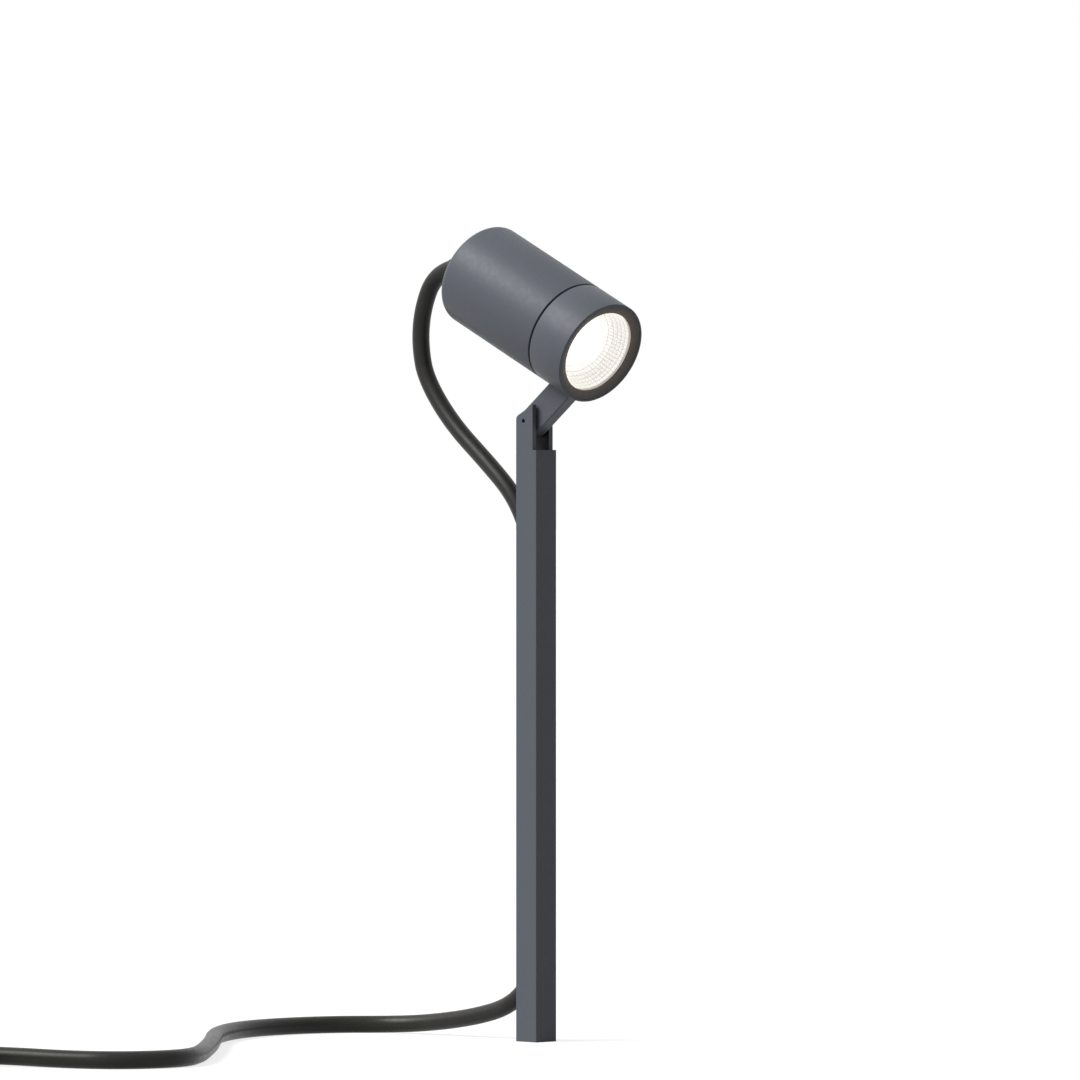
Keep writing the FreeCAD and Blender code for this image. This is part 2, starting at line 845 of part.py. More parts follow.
def heat_sink():
    """A round base against the holder, a flange held between the two housings, and parallel fins."""
    base_radius = neck_bore - dim.sink_clearance
    flange_radius = housing_bore - dim.sink_clearance
    fin_radius = inner_radius - dim.sink_clearance
    corners = (
        (0, sink_front),
        (base_radius, sink_front),
        (base_radius, sink_shoulder),
        (flange_radius, sink_shoulder),
        (flange_radius, sink_back),
        (fin_radius, sink_back),
        (fin_radius, fins_back),
        (0, fins_back),
    )
    body = turned("heat_sink", corners, HEAD)
    first = -(dim.fin_slots - 1) * dim.fin_pitch / 2
    half = dim.fin_slot / 2
    slot = outline(
        body,
        "XZ_Plane",
        "sink_slot",
        rectangle(first - half, first + half, sink_back, fins_back + dim.sink_flange),
    )
    cutter = pocket(body, slot, both=True)
    pattern = body.newObject("PartDesign::LinearPattern", "sink_slots")
    pattern.Originals = [cutter]
    pattern.Direction = (slot, ["H_Axis"])
    bind(pattern, Length=(dim.fin_slots - 1) * dim.fin_pitch, Occurrences=dim.fin_slots)
    body.Tip = pattern
    hole = circles(body, "XY_Plane", "sink_wiring", [(0, dim.wiring_hole_place)], dim.wiring_hole_radius)
    pocket(body, hole, both=True)
    places = ((dim.holder_screw_place, 0), (-dim.holder_screw_place, 0))
    tapped = circles(body, "XY_Plane", "sink_tapped_holes", places, dim.holder_screw_radius, sink_front)
    pocket(body, tapped, dim.holder_screw_length - dim.holder_thickness, backwards=True)


def rear_housing():
    """The rear two thirds of the tube, closed at the back but for the gland's hole."""
    gland_hole = dim.gland_radius + dim.gland_thread_clearance
    corners = (
        (housing_bore, ledge_depth),
        (dim.head_radius - dim.rear_edge_chamfer, ledge_depth),
        (dim.head_radius, ledge_depth + dim.rear_edge_chamfer),
        (dim.head_radius, dim.head_length - dim.rear_corner_radius),
        (dim.head_radius - dim.rear_corner_radius, dim.head_length),
        (gland_hole, dim.head_length),
        (gland_hole, rear_inside),
        (inner_radius, rear_inside),
        (inner_radius, sink_back),
        (housing_bore, sink_back),
    )
    turned("rear_housing", corners, HEAD, {3: dim.rear_corner_radius})


def on_board(name, height):
    """Where a named component of the power supply stands on its board."""
    return at(getattr(dim, f"{name}_x"), getattr(dim, f"{name}_y"), height)


def driver():
    """The power supply in its case behind the heat sink, and the mains terminals on its lid."""
    case_radius = inner_radius - dim.case_clearance
    case_inner = case_radius - dim.case_wall
    floor_back = fins_back + dim.case_wall
    turned(
        "driver_case",
        (
            (0, fins_back),
            (case_radius, fins_back),
            (case_radius, case_back),
            (case_inner, case_back),
            (case_inner, floor_back),
            (0, floor_back),
        ),
        HEAD,
    )
    circuit_back = floor_back + dim.circuit_thickness
    turned("driver_board", ring(0, case_inner - dim.circuit_clearance, floor_back, circuit_back), HEAD)
    parts = []
    for name in ("transformer", "film_capacitor"):
        size = [getattr(dim, f"{name}_{side}") for side in ("width", "depth", "height")]
        parts.append(block(name, *size, on_board(name, circuit_back)))
    for name in ("input_capacitor", "output_capacitor", "choke"):
        size = [getattr(dim, f"{name}_{side}") for side in ("radius", "height")]
        parts.append(cylinder(name, *size, on_board(name, circuit_back)))
    group("driver_components", parts, HEAD)
    lid = turned("driver_lid", ring(0, case_radius, case_back, lid_back), HEAD)
    place = [(0, dim.wiring_hole_place)]
    pocket(lid, circles(lid, "XY_Plane", "lid_wiring", place, dim.wiring_hole_radius), both=True)

    terminal = doc.addObject("PartDesign::Body", "terminal_block")
    half_width = dim.terminal_width / 2
    half_height = dim.terminal_height / 2
    face = rectangle(-half_width, half_width, -half_height, half_height)
    pad(terminal, outline(terminal, "XY_Plane", "terminal_face", face, lift=lid_back), dim.terminal_length)
    places = [(step * dim.terminal_pitch, 0) for step in (-1, 0, 1)]
    ports = circles(
        terminal, "XY_Plane", "terminal_ports", places, dim.terminal_port_radius, terminal_back
    )
    pocket(terminal, ports, dim.terminal_port_depth)
    finish("terminal_block", terminal, HEAD)

    wires = []
    sheath_end = gland_front
    port_bottom = terminal_back - dim.terminal_port_depth
    for step in (-1, 0, 1):
        near = Vector((step * dim.terminal_pitch).number, 0, port_bottom.number)
        far = Vector((step * dim.core_offset).number, 0, sheath_end.number)
        out_of_port = near + Vector(0, 0, dim.wire_straight.number)
        into_sheath = far - Vector(0, 0, dim.terminal_port_depth.number)
        edges = [Part.LineSegment(near, far).toShape()]
        if step != 0:
            edges, _ = rounded_route([near, out_of_port, into_sheath, far])
        section = Part.Wire([Part.Circle(near, Vector(0, 0, 1), dim.wire_radius.number).toShape()])
        wires.append(Part.Wire(edges).makePipeShell([section], True, False))
    mains = doc.addObject("Part::Feature", "mains_wires")
    mains.Shape = Part.Compound(wires)
    finish("mains_wires", mains, HEAD)

    leads = [
        cylinder(
            f"led_wire_{index + 1}",
            dim.led_wire_radius,
            fins_back - sink_front,
            at(side * dim.wiring_hole_radius / 2, dim.wiring_hole_place, sink_front),
        )
        for index, side in enumerate((-1, 1))
    ]
    group("led_wires", leads, HEAD)


def cable_gland():
    """The threaded gland through the rear wall, its nut and seal, and the cable's end in it."""
    turned(
        "gland_body",
        (
            (dim.gland_bore_radius, gland_front),
            (dim.gland_radius, gland_front),
            (dim.gland_radius, dim.head_length),
            (dim.gland_flange_radius, dim.head_length),
            (dim.gland_flange_radius, flange_back),
            (dim.gland_bore_radius, flange_back),
        ),
        HEAD,
    )
    nut = doc.addObject("PartDesign::Body", "gland_locknut")
    nut_front = rear_inside - dim.locknut_thickness
    corner = [
        (
            dim.locknut_radius * math.cos(math.radians(60 * k)),
            dim.locknut_radius * math.sin(math.radians(60 * k)),
        )
        for k in range(6)
    ]
    pad(nut, outline(nut, "XY_Plane", "nut_hexagon", corner, lift=nut_front), dim.locknut_thickness)
    thread = dim.gland_radius + dim.gland_thread_clearance
    pocket(nut, circles(nut, "XY_Plane", "nut_thread", [(0, 0)], thread), both=True)
    finish("gland_locknut", nut, HEAD)
    seal_front = flange_back - dim.seal_length
    seal_outer = dim.gland_bore_radius - dim.seal_clearance
    seal_bore = dim.cable_radius + dim.seal_clearance
    turned("gland_seal", ring(seal_bore, seal_outer, seal_front, flange_back), HEAD)
    turned("cable_inner_end", ring(0, dim.cable_radius, gland_front, flange_back), HEAD)


def strain_relief():
    """A tapered rubber boot on the rear face. It follows the cable's first bend, and the cable's
    free stretch starts square to its tip. Returns that start and its direction."""
    start = HEAD.multVec(Vector(0, 0, flange_back.number))
    way = head_turn.multVec(Vector(0, 0, 1))
    down = head_turn.multVec(Vector(0, 1, 0))
    bend = dim.relief_bend.number
    turn = dim.relief_length.number / bend
    centre = start + down * bend
    root = dim.relief_root_radius.number
    tip = dim.relief_tip_radius.number
    sections = []
    steps = 8
    for step in range(steps + 1):
        share = step / steps
        angle = turn * share
        point = centre - down * (bend * math.cos(angle)) + way * (bend * math.sin(angle))
        direction = way * math.cos(angle) + down * math.sin(angle)
        radius = root + (tip - root) * share
        sections.append(Part.Wire([Part.Circle(point, direction, radius).toShape()]))
    boot = doc.addObject("Part::Feature", "strain_relief")
    boot.Shape = Part.makeLoft(sections, True, True)
    finish("strain_relief", boot)
    return point, direction


# ---------------------------------------------------------------- post, pivot and spike


def post():
    """A square channel, open to the back, whose legs end in the two ears of the pivot."""
    body = doc.addObject("PartDesign::Body", "post")
    corners = (
        (-post_half, -post_half),
        (post_half, -post_half),
        (post_half, post_half),
        (slot_half, post_half),
        (slot_half, -slot_half),
        (-slot_half, -slot_half),
        (-slot_half, post_half),
        (-post_half, post_half),
    )
    pad(body, outline(body, "XY_Plane", "post_section", corners), ear_height)
    over = dim.post_wall
    front_cut = outline(
        body,
        "YZ_Plane",
        "post_front_cut",
        rectangle(-post_half - over, -slot_half, front_wall_height, ear_height + over),
    )
    pocket(body, front_cut, both=True)
    back_drop = (post_half + over + slot_half) * tangent(dim.ear_slope)
    ear_cut = outline(
        body,
        "YZ_Plane",
        "post_ear_cut",
        (
            (-slot_half, ear_height),
            (post_half + over, ear_height - back_drop),
            (post_half + over, ear_height + over),
            (-slot_half, ear_height + over),
        ),
    )
    pocket(body, ear_cut, both=True)
    hole = circles(
        body,
        "YZ_Plane",
        "post_pivot_hole",
        [(dim.pivot_offset, dim.pivot_height)],
        dim.pivot_pin_radius + dim.pin_clearance,
    )
    pocket(body, hole, both=True)
    tapped = circles(
        body, "XZ_Plane", "post_tapped_hole", [(0, dim.spike_screw_height)], dim.spike_screw_radius
    )
    pocket(body, tapped, slot_half + dim.spike_screw_bite, backwards=True)
    doc.recompute()
    top = front_wall_height.number

    def ear_corner(edge):
        box = edge.BoundBox
        on_back = box.YLength < 0.01 and abs(box.YMin - post_half.number) < 0.01
        return box.XLength > 1 and on_back and box.ZMin > top

    dress_edges(body, "Fillet", "post_ear_corners", ear_corner, dim.ear_corner_radius)

    def front_edge(edge):
        box = edge.BoundBox
        upright = box.ZLength > dim.post_width.number and box.XLength < 0.01
        return upright and box.YMax < 0.01 - post_half.number

    dress_edges(body, "Fillet", "post_edges", front_edge, dim.post_edge_radius)
    finish("post", body, IDENTITY)


def pivot_hardware():
    """The pin through both ears and the arm, and a friction washer on each side of the arm."""
    frame = at(-post_half, dim.pivot_offset, dim.pivot_height, (1, 0, 0))
    pin = cylinder("pivot_pin_blank", dim.pivot_pin_radius, dim.post_width, IDENTITY)
    sockets = fuse(
        "pivot_pin_sockets",
        [
            hexagon("pivot_socket_left", dim.pin_socket_width, dim.pin_socket_depth, IDENTITY),
            hexagon(
                "pivot_socket_right",
                dim.pin_socket_width,
                dim.pin_socket_depth,
                at(0, 0, dim.post_width - dim.pin_socket_depth),
            ),
        ],
    )
    finish("pivot_pin", cut("pivot_pin", pin, sockets), frame)
    washers = []
    gap = slot_half - arm_half
    for index, side in enumerate((-slot_half, arm_half)):
        place = at(side + post_half, 0, 0).Base
        lift = at(0, 0, place.x)
        disc = cylinder(f"washer_{index + 1}_disc", dim.washer_radius, gap, lift)
        bore = cylinder(
            f"washer_{index + 1}_bore", dim.pivot_pin_radius + dim.running_clearance, gap, lift
        )
        washers.append(cut(f"washer_{index + 1}", disc, bore))
    group("friction_washers", washers, frame)


def ground_spike():
    """A tenon in the post's foot, a collar under the post, and four tapering fins."""
    body = doc.addObject("PartDesign::Body", "ground_spike")
    square = rectangle(-post_half, post_half, -post_half, post_half)
    pad(body, outline(body, "XY_Plane", "spike_collar", square), dim.collar_height, backwards=True)
    side = slot_half - dim.tenon_clearance
    tenon = rectangle(-side, side, -side, post_half - dim.tenon_clearance)
    pad(body, outline(body, "XY_Plane", "spike_tenon", tenon), dim.tenon_height)
    wide = dim.fin_width / 2
    tip = dim.fin_tip / 2
    fin = (
        (-wide, -dim.collar_height),
        (-tip, -dim.spike_length),
        (tip, -dim.spike_length),
        (wide, -dim.collar_height),
    )
    for role in ("XZ_Plane", "YZ_Plane"):
        pad(body, outline(body, role, f"spike_fin_{role[:2]}", fin), dim.fin_thickness, both=True)
    place = [(0, dim.spike_screw_height)]
    hole = dim.spike_screw_radius + dim.screw_clearance
    pocket(body, circles(body, "XZ_Plane", "spike_hole", place, hole), both=True)
    well = dim.spike_screw_head_radius + dim.screw_clearance
    seat = post_half - dim.tenon_clearance - dim.spike_screw_head_height
    sunk = circles(body, "XZ_Plane", "spike_well", place, well, -seat)
    pocket(body, sunk)
    finish("ground_spike", body, IDENTITY)
    screw = socket_screw(
        "spike_screw",
        dim.spike_screw_radius,
        seat + slot_half + dim.spike_screw_bite,
        dim.spike_screw_head_radius,
        dim.spike_screw_head_height,
        dim.arm_screw_socket_width,
        at(0, seat, dim.spike_screw_height, (0, -1, 0)),
    )
    finish("spike_screw", screw)


def channel_clips():
    """Snap-in bars across the channel that keep the cable in it."""
    front = dim.cable_radius + dim.clip_gap
    clips = [
        block(
            f"clip_{index + 1}",
            slot_half * 2,
            dim.clip_thickness,
            dim.clip_height,
            at(-slot_half, front, clip_top - dim.clip_height - index * dim.clip_pitch),
        )
        for index in range(int(dim.clip_count.number))
    ]
    group("channel_clips", clips)


# ---------------------------------------------------------------- cable, coil and plug


def free_cable(start, leaving, radius):
    """The loop behind the head, the stretch in the channel and the one over the ground."""
    top = Vector(0, 0, cable_top.number)
    foot = Vector(0, 0, dim.cable_foot.number)
    straight_out = start + leaving * dim.loop_first_run.number
    loop = [start, straight_out] + [pivot + Vector(0, y - pivot.y, rise) for y, rise in LOOP_ROUTE] + [top]
    edges, radii = rounded_route(loop)
    print("cable_loop radii:", radii)
    lengths = [tube("cable_loop", edges, radius).Length]
    held = Part.LineSegment(top, foot).toShape()
    lengths.append(tube("cable_in_post", [held], radius).Length)
    heading = math.radians(COIL_HEADING)
    way = Vector(math.cos(heading), math.sin(heading), 0)
    route = [Vector(*point) for point in GROUND_ROUTE]
    end = route[-1] + way * COIL_APPROACH
    edges, radii = rounded_route([foot] + route + [end])
    print("ground_cable radii:", radii)
    lengths.append(tube("ground_cable", edges, radius).Length)
    return end, way, lengths


def coil_point(centre, quarter):
    """Place and direction of the coil's centreline after so many quarter turns."""
    pitch = dim.coil_pitch.number
    turn_back = CLIMB_QUARTER + 1
    wound = quarter if quarter <= turn_back else 2 * turn_back - quarter
    reach = dim.coil_radius.number - pitch * wound / 4
    climbed = min(max((quarter - CLIMB_QUARTER) / 2, 0), 1)
    angle = math.radians(COIL_HEADING - 90 + 90 * quarter)
    outward = Vector(math.cos(angle), math.sin(angle), 0)
    around = Vector(-math.sin(angle), math.cos(angle), 0)
    place = centre + outward * reach
    place.z = dim.coil_height.number + pitch * climbed
    drift = 0
    if 0 < quarter < turn_back:
        drift = -pitch / (2 * math.pi * reach)
    elif turn_back < quarter < COIL_QUARTERS:
        drift = pitch / (2 * math.pi * reach)
    lift = 2 * pitch / (math.pi * reach) if quarter == turn_back else 0
    way = (around + outward * drift + Vector(0, 0, lift)).normalize()
    return place, way


def cable_coil(entry, way, radius):
    """The put-away length: one tube that spirals in on the ground and out again on top."""
    diameter = 2 * radius
    begin = entry + way * diameter
    centre = begin + Vector(-way.y, way.x, 0) * dim.coil_radius.number
    stations = [coil_point(centre, quarter) for quarter in range(COIL_QUARTERS + 1)]
    edges = [Part.LineSegment(entry, begin).toShape()]
    for (here, here_way), (there, there_way) in zip(stations, stations[1:]):
        edges += biarc(here, here_way, there, there_way)
    last, last_way = stations[-1]
    end = last + last_way * diameter
    edges.append(Part.LineSegment(last, end).toShape())
    wire = tube("cable_coil", edges, radius)
    gap = least_gap(wire, diameter, math.pi * dim.coil_radius.number / 2)
    print(f"cable_coil: least gap to itself {gap:.2f}")

    places = [stations[quarter][0] for quarter in range(TIE_QUARTER, COIL_QUARTERS, 4)]
    outward = places[0] - centre
    outward.z = 0
    outward.normalize()
    reaches = [(place - centre).dot(outward) for place in places]
    room = radius + dim.tie_clearance.number
    inner = min(reaches) - room
    outer = max(reaches) + room
    skin = dim.tie_thickness.number
    width = dim.tie_width.number
    height = dim.coil_height.number + dim.coil_pitch.number + room
    frame = Placement(centre, Rotation(Vector(0, 0, 1), math.degrees(math.atan2(outward.y, outward.x))))
    frame.Base.z = 0
    shell = Part.makeBox(outer - inner + 2 * skin, width, height + skin, Vector(inner - skin, -width / 2, 0))
    bore = Part.makeBox(outer - inner, width, height - skin, Vector(inner, -width / 2, skin))
    band = shell.cut(bore)
    tie = doc.addObject("Part::Feature", "coil_tie")
    tie.Shape = band
    finish("coil_tie", tie, frame)
    return end, last_way, wire.Length


def plug(start, way, radius):
    """The short lead off the coil and the earthed two-pin plug that lies beside the coil."""
    axis_height = dim.plug_axis_height.number
    lead = dim.plug_lead.number
    end = start + way * lead
    end.z = axis_height
    third = lead / 3
    points = [start, start + way * third, end - way * third, end]
    edges, radii = rounded_route(points)
    print("plug_lead radii:", radii)
    length = tube("plug_lead", edges, radius).Length

    turn = Rotation(Vector(-way.y, way.x, 0), Vector(0, 0, 1), way, "ZYX")
    frame = Placement(end, turn)
    body_front = dim.protector_length
    body_back = body_front + dim.plug_length
    turned(
        "plug_bend_protector",
        (
            (0, 0),
            (dim.protector_tip_radius, 0),
            (dim.protector_root_radius, body_front),
            (0, body_front),
        ),
        frame,
    )
    flat = dim.plug_axis_height
    insert_bore = dim.insert_radius + dim.insert_clearance
    shoulder = body_front + dim.plug_shoulder
    body = turned(
        "plug_body",
        (
            (0, body_front),
            (dim.protector_root_radius + dim.plug_step, body_front),
            (dim.plug_radius, shoulder),
            (dim.plug_radius, body_back - dim.plug_edge_chamfer),
            (dim.plug_radius - dim.plug_edge_chamfer, body_back),
            (insert_bore, body_back),
            (insert_bore, body_back - dim.insert_depth),
            (0, body_back - dim.insert_depth),
        ),
        frame,
    )
    clip_half = dim.earth_clip_width / 2
    recess_half = clip_half + dim.screw_clearance
    clip_front = body_back - dim.earth_clip_length
    for index, side in enumerate((-1, 1)):
        low = flat if side > 0 else -flat - dim.plug_radius
        high = flat + dim.plug_radius if side > 0 else -flat
        sheet_cut = outline(
            body,
            "XY_Plane",
            f"plug_flat_{index + 1}",
            rectangle(-dim.plug_radius, dim.plug_radius, low, high),
            lift=body_front,
        )
        pocket(body, sheet_cut, dim.plug_length, backwards=True)
        deep = flat - dim.earth_clip_recess
        low = deep if side > 0 else -flat - dim.plug_radius
        high = flat + dim.plug_radius if side > 0 else -deep
        groove = outline(
            body,
            "XY_Plane",
            f"plug_groove_{index + 1}",
            rectangle(-recess_half, recess_half, low, high),
            lift=clip_front,
        )
        pocket(body, groove, dim.earth_clip_length, backwards=True)

    insert = turned("plug_insert", ring(0, dim.insert_radius, body_back - dim.insert_depth, body_back), frame)
    pins_at = [(side * dim.plug_pin_pitch / 2, 0) for side in (-1, 1)]
    pin_holes = circles(insert, "XY_Plane", "insert_pin_holes", pins_at, dim.plug_pin_root_radius)
    pocket(insert, pin_holes, both=True)
    earth = [(0, dim.earth_hole_place)]
    earth_hole = circles(insert, "XY_Plane", "insert_earth_hole", earth, dim.earth_hole_radius)
    pocket(insert, earth_hole, both=True)

    pins = []
    for index, (x, y) in enumerate(pins_at):
        straight = dim.plug_pin_length - dim.plug_pin_chamfer
        foot = body_back - dim.insert_depth
        root = cylinder(f"pin_{index + 1}_root", dim.plug_pin_root_radius, dim.insert_depth, at(x, y, foot))
        shank = cylinder(f"pin_{index + 1}_shank", dim.plug_pin_radius, straight, at(x, y, body_back))
        tip = doc.addObject("Part::Cone", f"pin_{index + 1}_tip")
        bind(
            tip,
            Radius1=dim.plug_pin_radius,
            Radius2=dim.plug_pin_radius - dim.plug_pin_chamfer,
            Height=dim.plug_pin_chamfer,
        )
        tip.Placement = at(x, y, body_back + straight)
        pins.append(fuse(f"pin_{index + 1}", [root, shank, tip]))
    group("plug_pins", pins, frame)

    clips = []
    for index, side in enumerate((-1, 1)):
        y = side * (flat - dim.earth_clip_recess)
        y = y if side > 0 else y - dim.earth_clip_thickness
        clips.append(
            block(
                f"earth_clip_{index + 1}",
                dim.earth_clip_width,
                dim.earth_clip_thickness,
                dim.earth_clip_length,
                at(-clip_half, y, clip_front),
            )
        )
    group("plug_earth_clips", clips, frame)
    return length


# ---------------------------------------------------------------- assembly

front_housing()
arm()
arm_screws()
front_rings()
reflector()
light_source()
heat_sink()
rear_housing()
driver()
cable_gland()
relief_tip, relief_way = strain_relief()
post()
pivot_hardware()
ground_spike()
channel_clips()
cable_radius = dim.cable_radius.number
coil_entry, coil_way, cable_lengths = free_cable(relief_tip, relief_way, cable_radius)
coil_end, end_way, coil_length = cable_coil(coil_entry, coil_way, cable_radius)
lead_length = plug(coil_end, end_way, cable_radius)
inner_length = (flange_back - gland_front + dim.relief_length).number
total = sum(cable_lengths) + coil_length + lead_length + inner_length
print(f"cable: {total:.0f} long in all, {coil_length:.0f} of it coiled")

doc.recompute()
faults = [item.Name for item in doc.Objects if "Invalid" in item.State or "Error" in item.State]
if faults:
    raise ValueError(f"these objects failed: {faults}")
for label, thing in finished.items():
    if thing.Shape.isNull() or not thing.Shape.isValid() or not thing.Shape.Solids:
        raise ValueError(f"{label} has no valid solid")

os.makedirs("parts", exist_ok=True)
for label, thing in finished.items():
    thing.Shape.exportStep(f"parts/{label}.step")
    box = thing.Shape.BoundBox
    print(
        f"{label:22s} {len(thing.Shape.Solids)} solids  {thing.Shape.Volume:10.1f} mm3  "
        f"x {box.XMin:.1f}..{box.XMax:.1f}  y {box.YMin:.1f}..{box.YMax:.1f}  "
        f"z {box.ZMin:.1f}..{box.ZMax:.1f}"
    )
print(len(finished), "nodes")
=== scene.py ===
import json
import math

import bmesh
import bpy
from mathutils import Matrix, Vector
from mathutils.geometry import convex_hull_2d


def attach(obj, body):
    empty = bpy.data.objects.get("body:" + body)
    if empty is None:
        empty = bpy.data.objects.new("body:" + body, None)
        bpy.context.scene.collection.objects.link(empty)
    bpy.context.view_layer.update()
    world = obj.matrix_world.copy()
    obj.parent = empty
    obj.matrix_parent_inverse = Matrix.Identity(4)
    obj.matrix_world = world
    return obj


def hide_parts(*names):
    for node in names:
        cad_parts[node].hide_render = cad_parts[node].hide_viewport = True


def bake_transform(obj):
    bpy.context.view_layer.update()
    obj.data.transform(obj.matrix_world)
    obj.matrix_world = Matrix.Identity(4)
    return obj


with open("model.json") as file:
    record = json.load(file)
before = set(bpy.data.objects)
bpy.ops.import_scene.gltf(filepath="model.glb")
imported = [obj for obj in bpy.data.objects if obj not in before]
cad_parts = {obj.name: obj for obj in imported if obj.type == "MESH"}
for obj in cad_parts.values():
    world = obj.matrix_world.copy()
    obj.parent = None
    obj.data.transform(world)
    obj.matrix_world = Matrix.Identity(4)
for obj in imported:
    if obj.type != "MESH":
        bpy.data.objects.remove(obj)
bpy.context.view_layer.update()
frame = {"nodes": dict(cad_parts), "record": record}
nodes = frame["nodes"]
MM = 0.001


def mm(*numbers):
    """A point given in millimetres."""
    return Vector(numbers) * MM


# ---------------------------------------------------------------- camera

CAMERA_DISTANCE = 5.5
CAMERA_HEIGHT = 0.343
CAMERA_ASIDE = 0.00207
CAMERA_DOWN = math.radians(0.6427)
CAMERA_LENS = 326.97
CAMERA_REACH = 100
SENSOR = 36.0

eye_way = Vector((1, 1, 0)).normalized()
eye_right = Vector((1, -1, 0)).normalized()
eye_up = Vector((0, 0, 1))
camera = bpy.data.objects.new("camera", bpy.data.cameras.new("camera"))
bpy.context.scene.collection.objects.link(camera)
camera.location = eye_right * CAMERA_ASIDE - eye_way * CAMERA_DISTANCE + eye_up * CAMERA_HEIGHT
aim = eye_way * math.cos(CAMERA_DOWN) - eye_up * math.sin(CAMERA_DOWN)
camera.rotation_mode = "QUATERNION"
camera.rotation_quaternion = aim.to_track_quat("-Z", "Y")
camera.data.sensor_width = SENSOR
camera.data.lens = CAMERA_LENS
camera.data.clip_end = CAMERA_REACH
bpy.context.scene.camera = camera
bpy.context.scene.view_settings.view_transform = "Standard"


# ---------------------------------------------------------------- sizes of the head

# The head's own frame has its origin at the centre of the front and its depth along Z.
HEAD_TILT = 25.6
PIVOT = mm(0, 2.3, 348.1)
PIVOT_IN_HEAD = mm(0, 56.8, 31.6)
HEAD_TURN = Matrix.Rotation(math.radians(HEAD_TILT - 90), 4, "X")
HEAD = Matrix.Translation(PIVOT - HEAD_TURN @ PIVOT_IN_HEAD) @ HEAD_TURN

# Radii and depths in millimetres.
HEAD_RADIUS = 30.0
HEAD_LENGTH = 106.5
LIP_BORE = 28.6
LIP_ROUND = 0.25
RIM_ROUND = 0.4
EDGE = 0.3
FRONT_LENGTH = 26.0
GROOVE_WIDTH = 1.3
REAR_START = FRONT_LENGTH + GROOVE_WIDTH
NECK_RADIUS = 26.9
NECK_BORE = 25.2
NECK_END = FRONT_LENGTH + 8.0
REAR_BORE = 27.0
SINK_BACK = NECK_END + 3.4
REAR_INNER = 25.5
REAR_CORNER = 4.5
REAR_WALL = 4.0
GLAND_HOLE = 8.0
GLASS_FRONT = 2.3
GLASS_BACK = GLASS_FRONT + 3.0
SEAT_DEPTH = GLASS_BACK + 1.6
GLASS_RADIUS = 28.2
LENS_RADIUS = 23.8
BEZEL_RADIUS = LIP_BORE - 0.1
BEZEL_LIP = 0.7
BEZEL_EDGE = 0.3

# The reflector's bowl has an arc for its profile, and rings of facets with a seam round each.
REFLECTOR_FRONT = GLASS_BACK + 0.3
BOWL_MOUTH = 23.6
BOWL_FOOT = 7.5
BOWL_DEPTH = 22.1
BOWL_CURVE = 44.0
BOWL_WALL = 1.0
BOWL_WALL_STEPS = 8
RIM_THICKNESS = 1.0
RIM_RADIUS = 25.2
FACETS_AROUND = 64
FACET_RINGS = 11
FACET_RISE = 0.16
# Where a facet is cut, in shares of its side: the first and the last cell belong to the seam.
SEAM = 0.09
FACET_CELLS = (0.0, SEAM, 0.36, 0.64, 1 - SEAM)
LIGHT_SOURCE = HEAD @ mm(0, 0, REFLECTOR_FRONT + 22.8)

# The strain relief bends over its length, from the gland flange's back. The bend's radius and
# the length are in metres, and the other sizes in millimetres or shares of the length.
FLANGE_BACK = 108
RELIEF_START = HEAD @ mm(0, 0, FLANGE_BACK)
RELIEF_WAY = (HEAD_TURN @ Vector((0, 0, 1))).normalized()
RELIEF_DOWN = (HEAD_TURN @ Vector((0, 1, 0))).normalized()
RELIEF_BEND = 0.030
RELIEF_LENGTH = 0.020
RELIEF_ROOT = 6.4
RELIEF_TIP = 5.3
RELIEF_GROOVES = 5
RELIEF_GROOVE_DEPTH = 0.5
RELIEF_GROOVE_FORM = 0.6
RELIEF_PLAIN_ROOT = 0.12
RELIEF_GROOVED = 0.6
RELIEF_STEPS = 120


# ---------------------------------------------------------------- cable routes


def relief_place(share):
    """A point on the strain relief's axis, and its direction there."""
    angle = RELIEF_LENGTH / RELIEF_BEND * share
    centre = RELIEF_START + RELIEF_DOWN * RELIEF_BEND
    point = (
        centre
        - RELIEF_DOWN * (RELIEF_BEND * math.cos(angle))
        + RELIEF_WAY * (RELIEF_BEND * math.sin(angle))
    )
    return point, RELIEF_WAY * math.cos(angle) + RELIEF_DOWN * math.sin(angle)


CABLE_RADIUS = 0.0049
LOOP_LEAD = 0.0067

relief_tip, relief_leaving = relief_place(1)
LOOP_ROUTE = [relief_tip, relief_tip + relief_leaving * LOOP_LEAD] + [
    mm(0, y, z)
    for y, z in (
        (80.8, 428.7),
        (86.7, 421.6),
        (92.2, 406.5),
        (92.9, 389.7),
        (88.5, 372.0),
        (68.1, 347.1),
        (36.4, 322.6),
        (17.9, 306.5),
        (6.6, 287.3),
        (0.0, 268.0),
        (0.0, 250.0),
    )
]
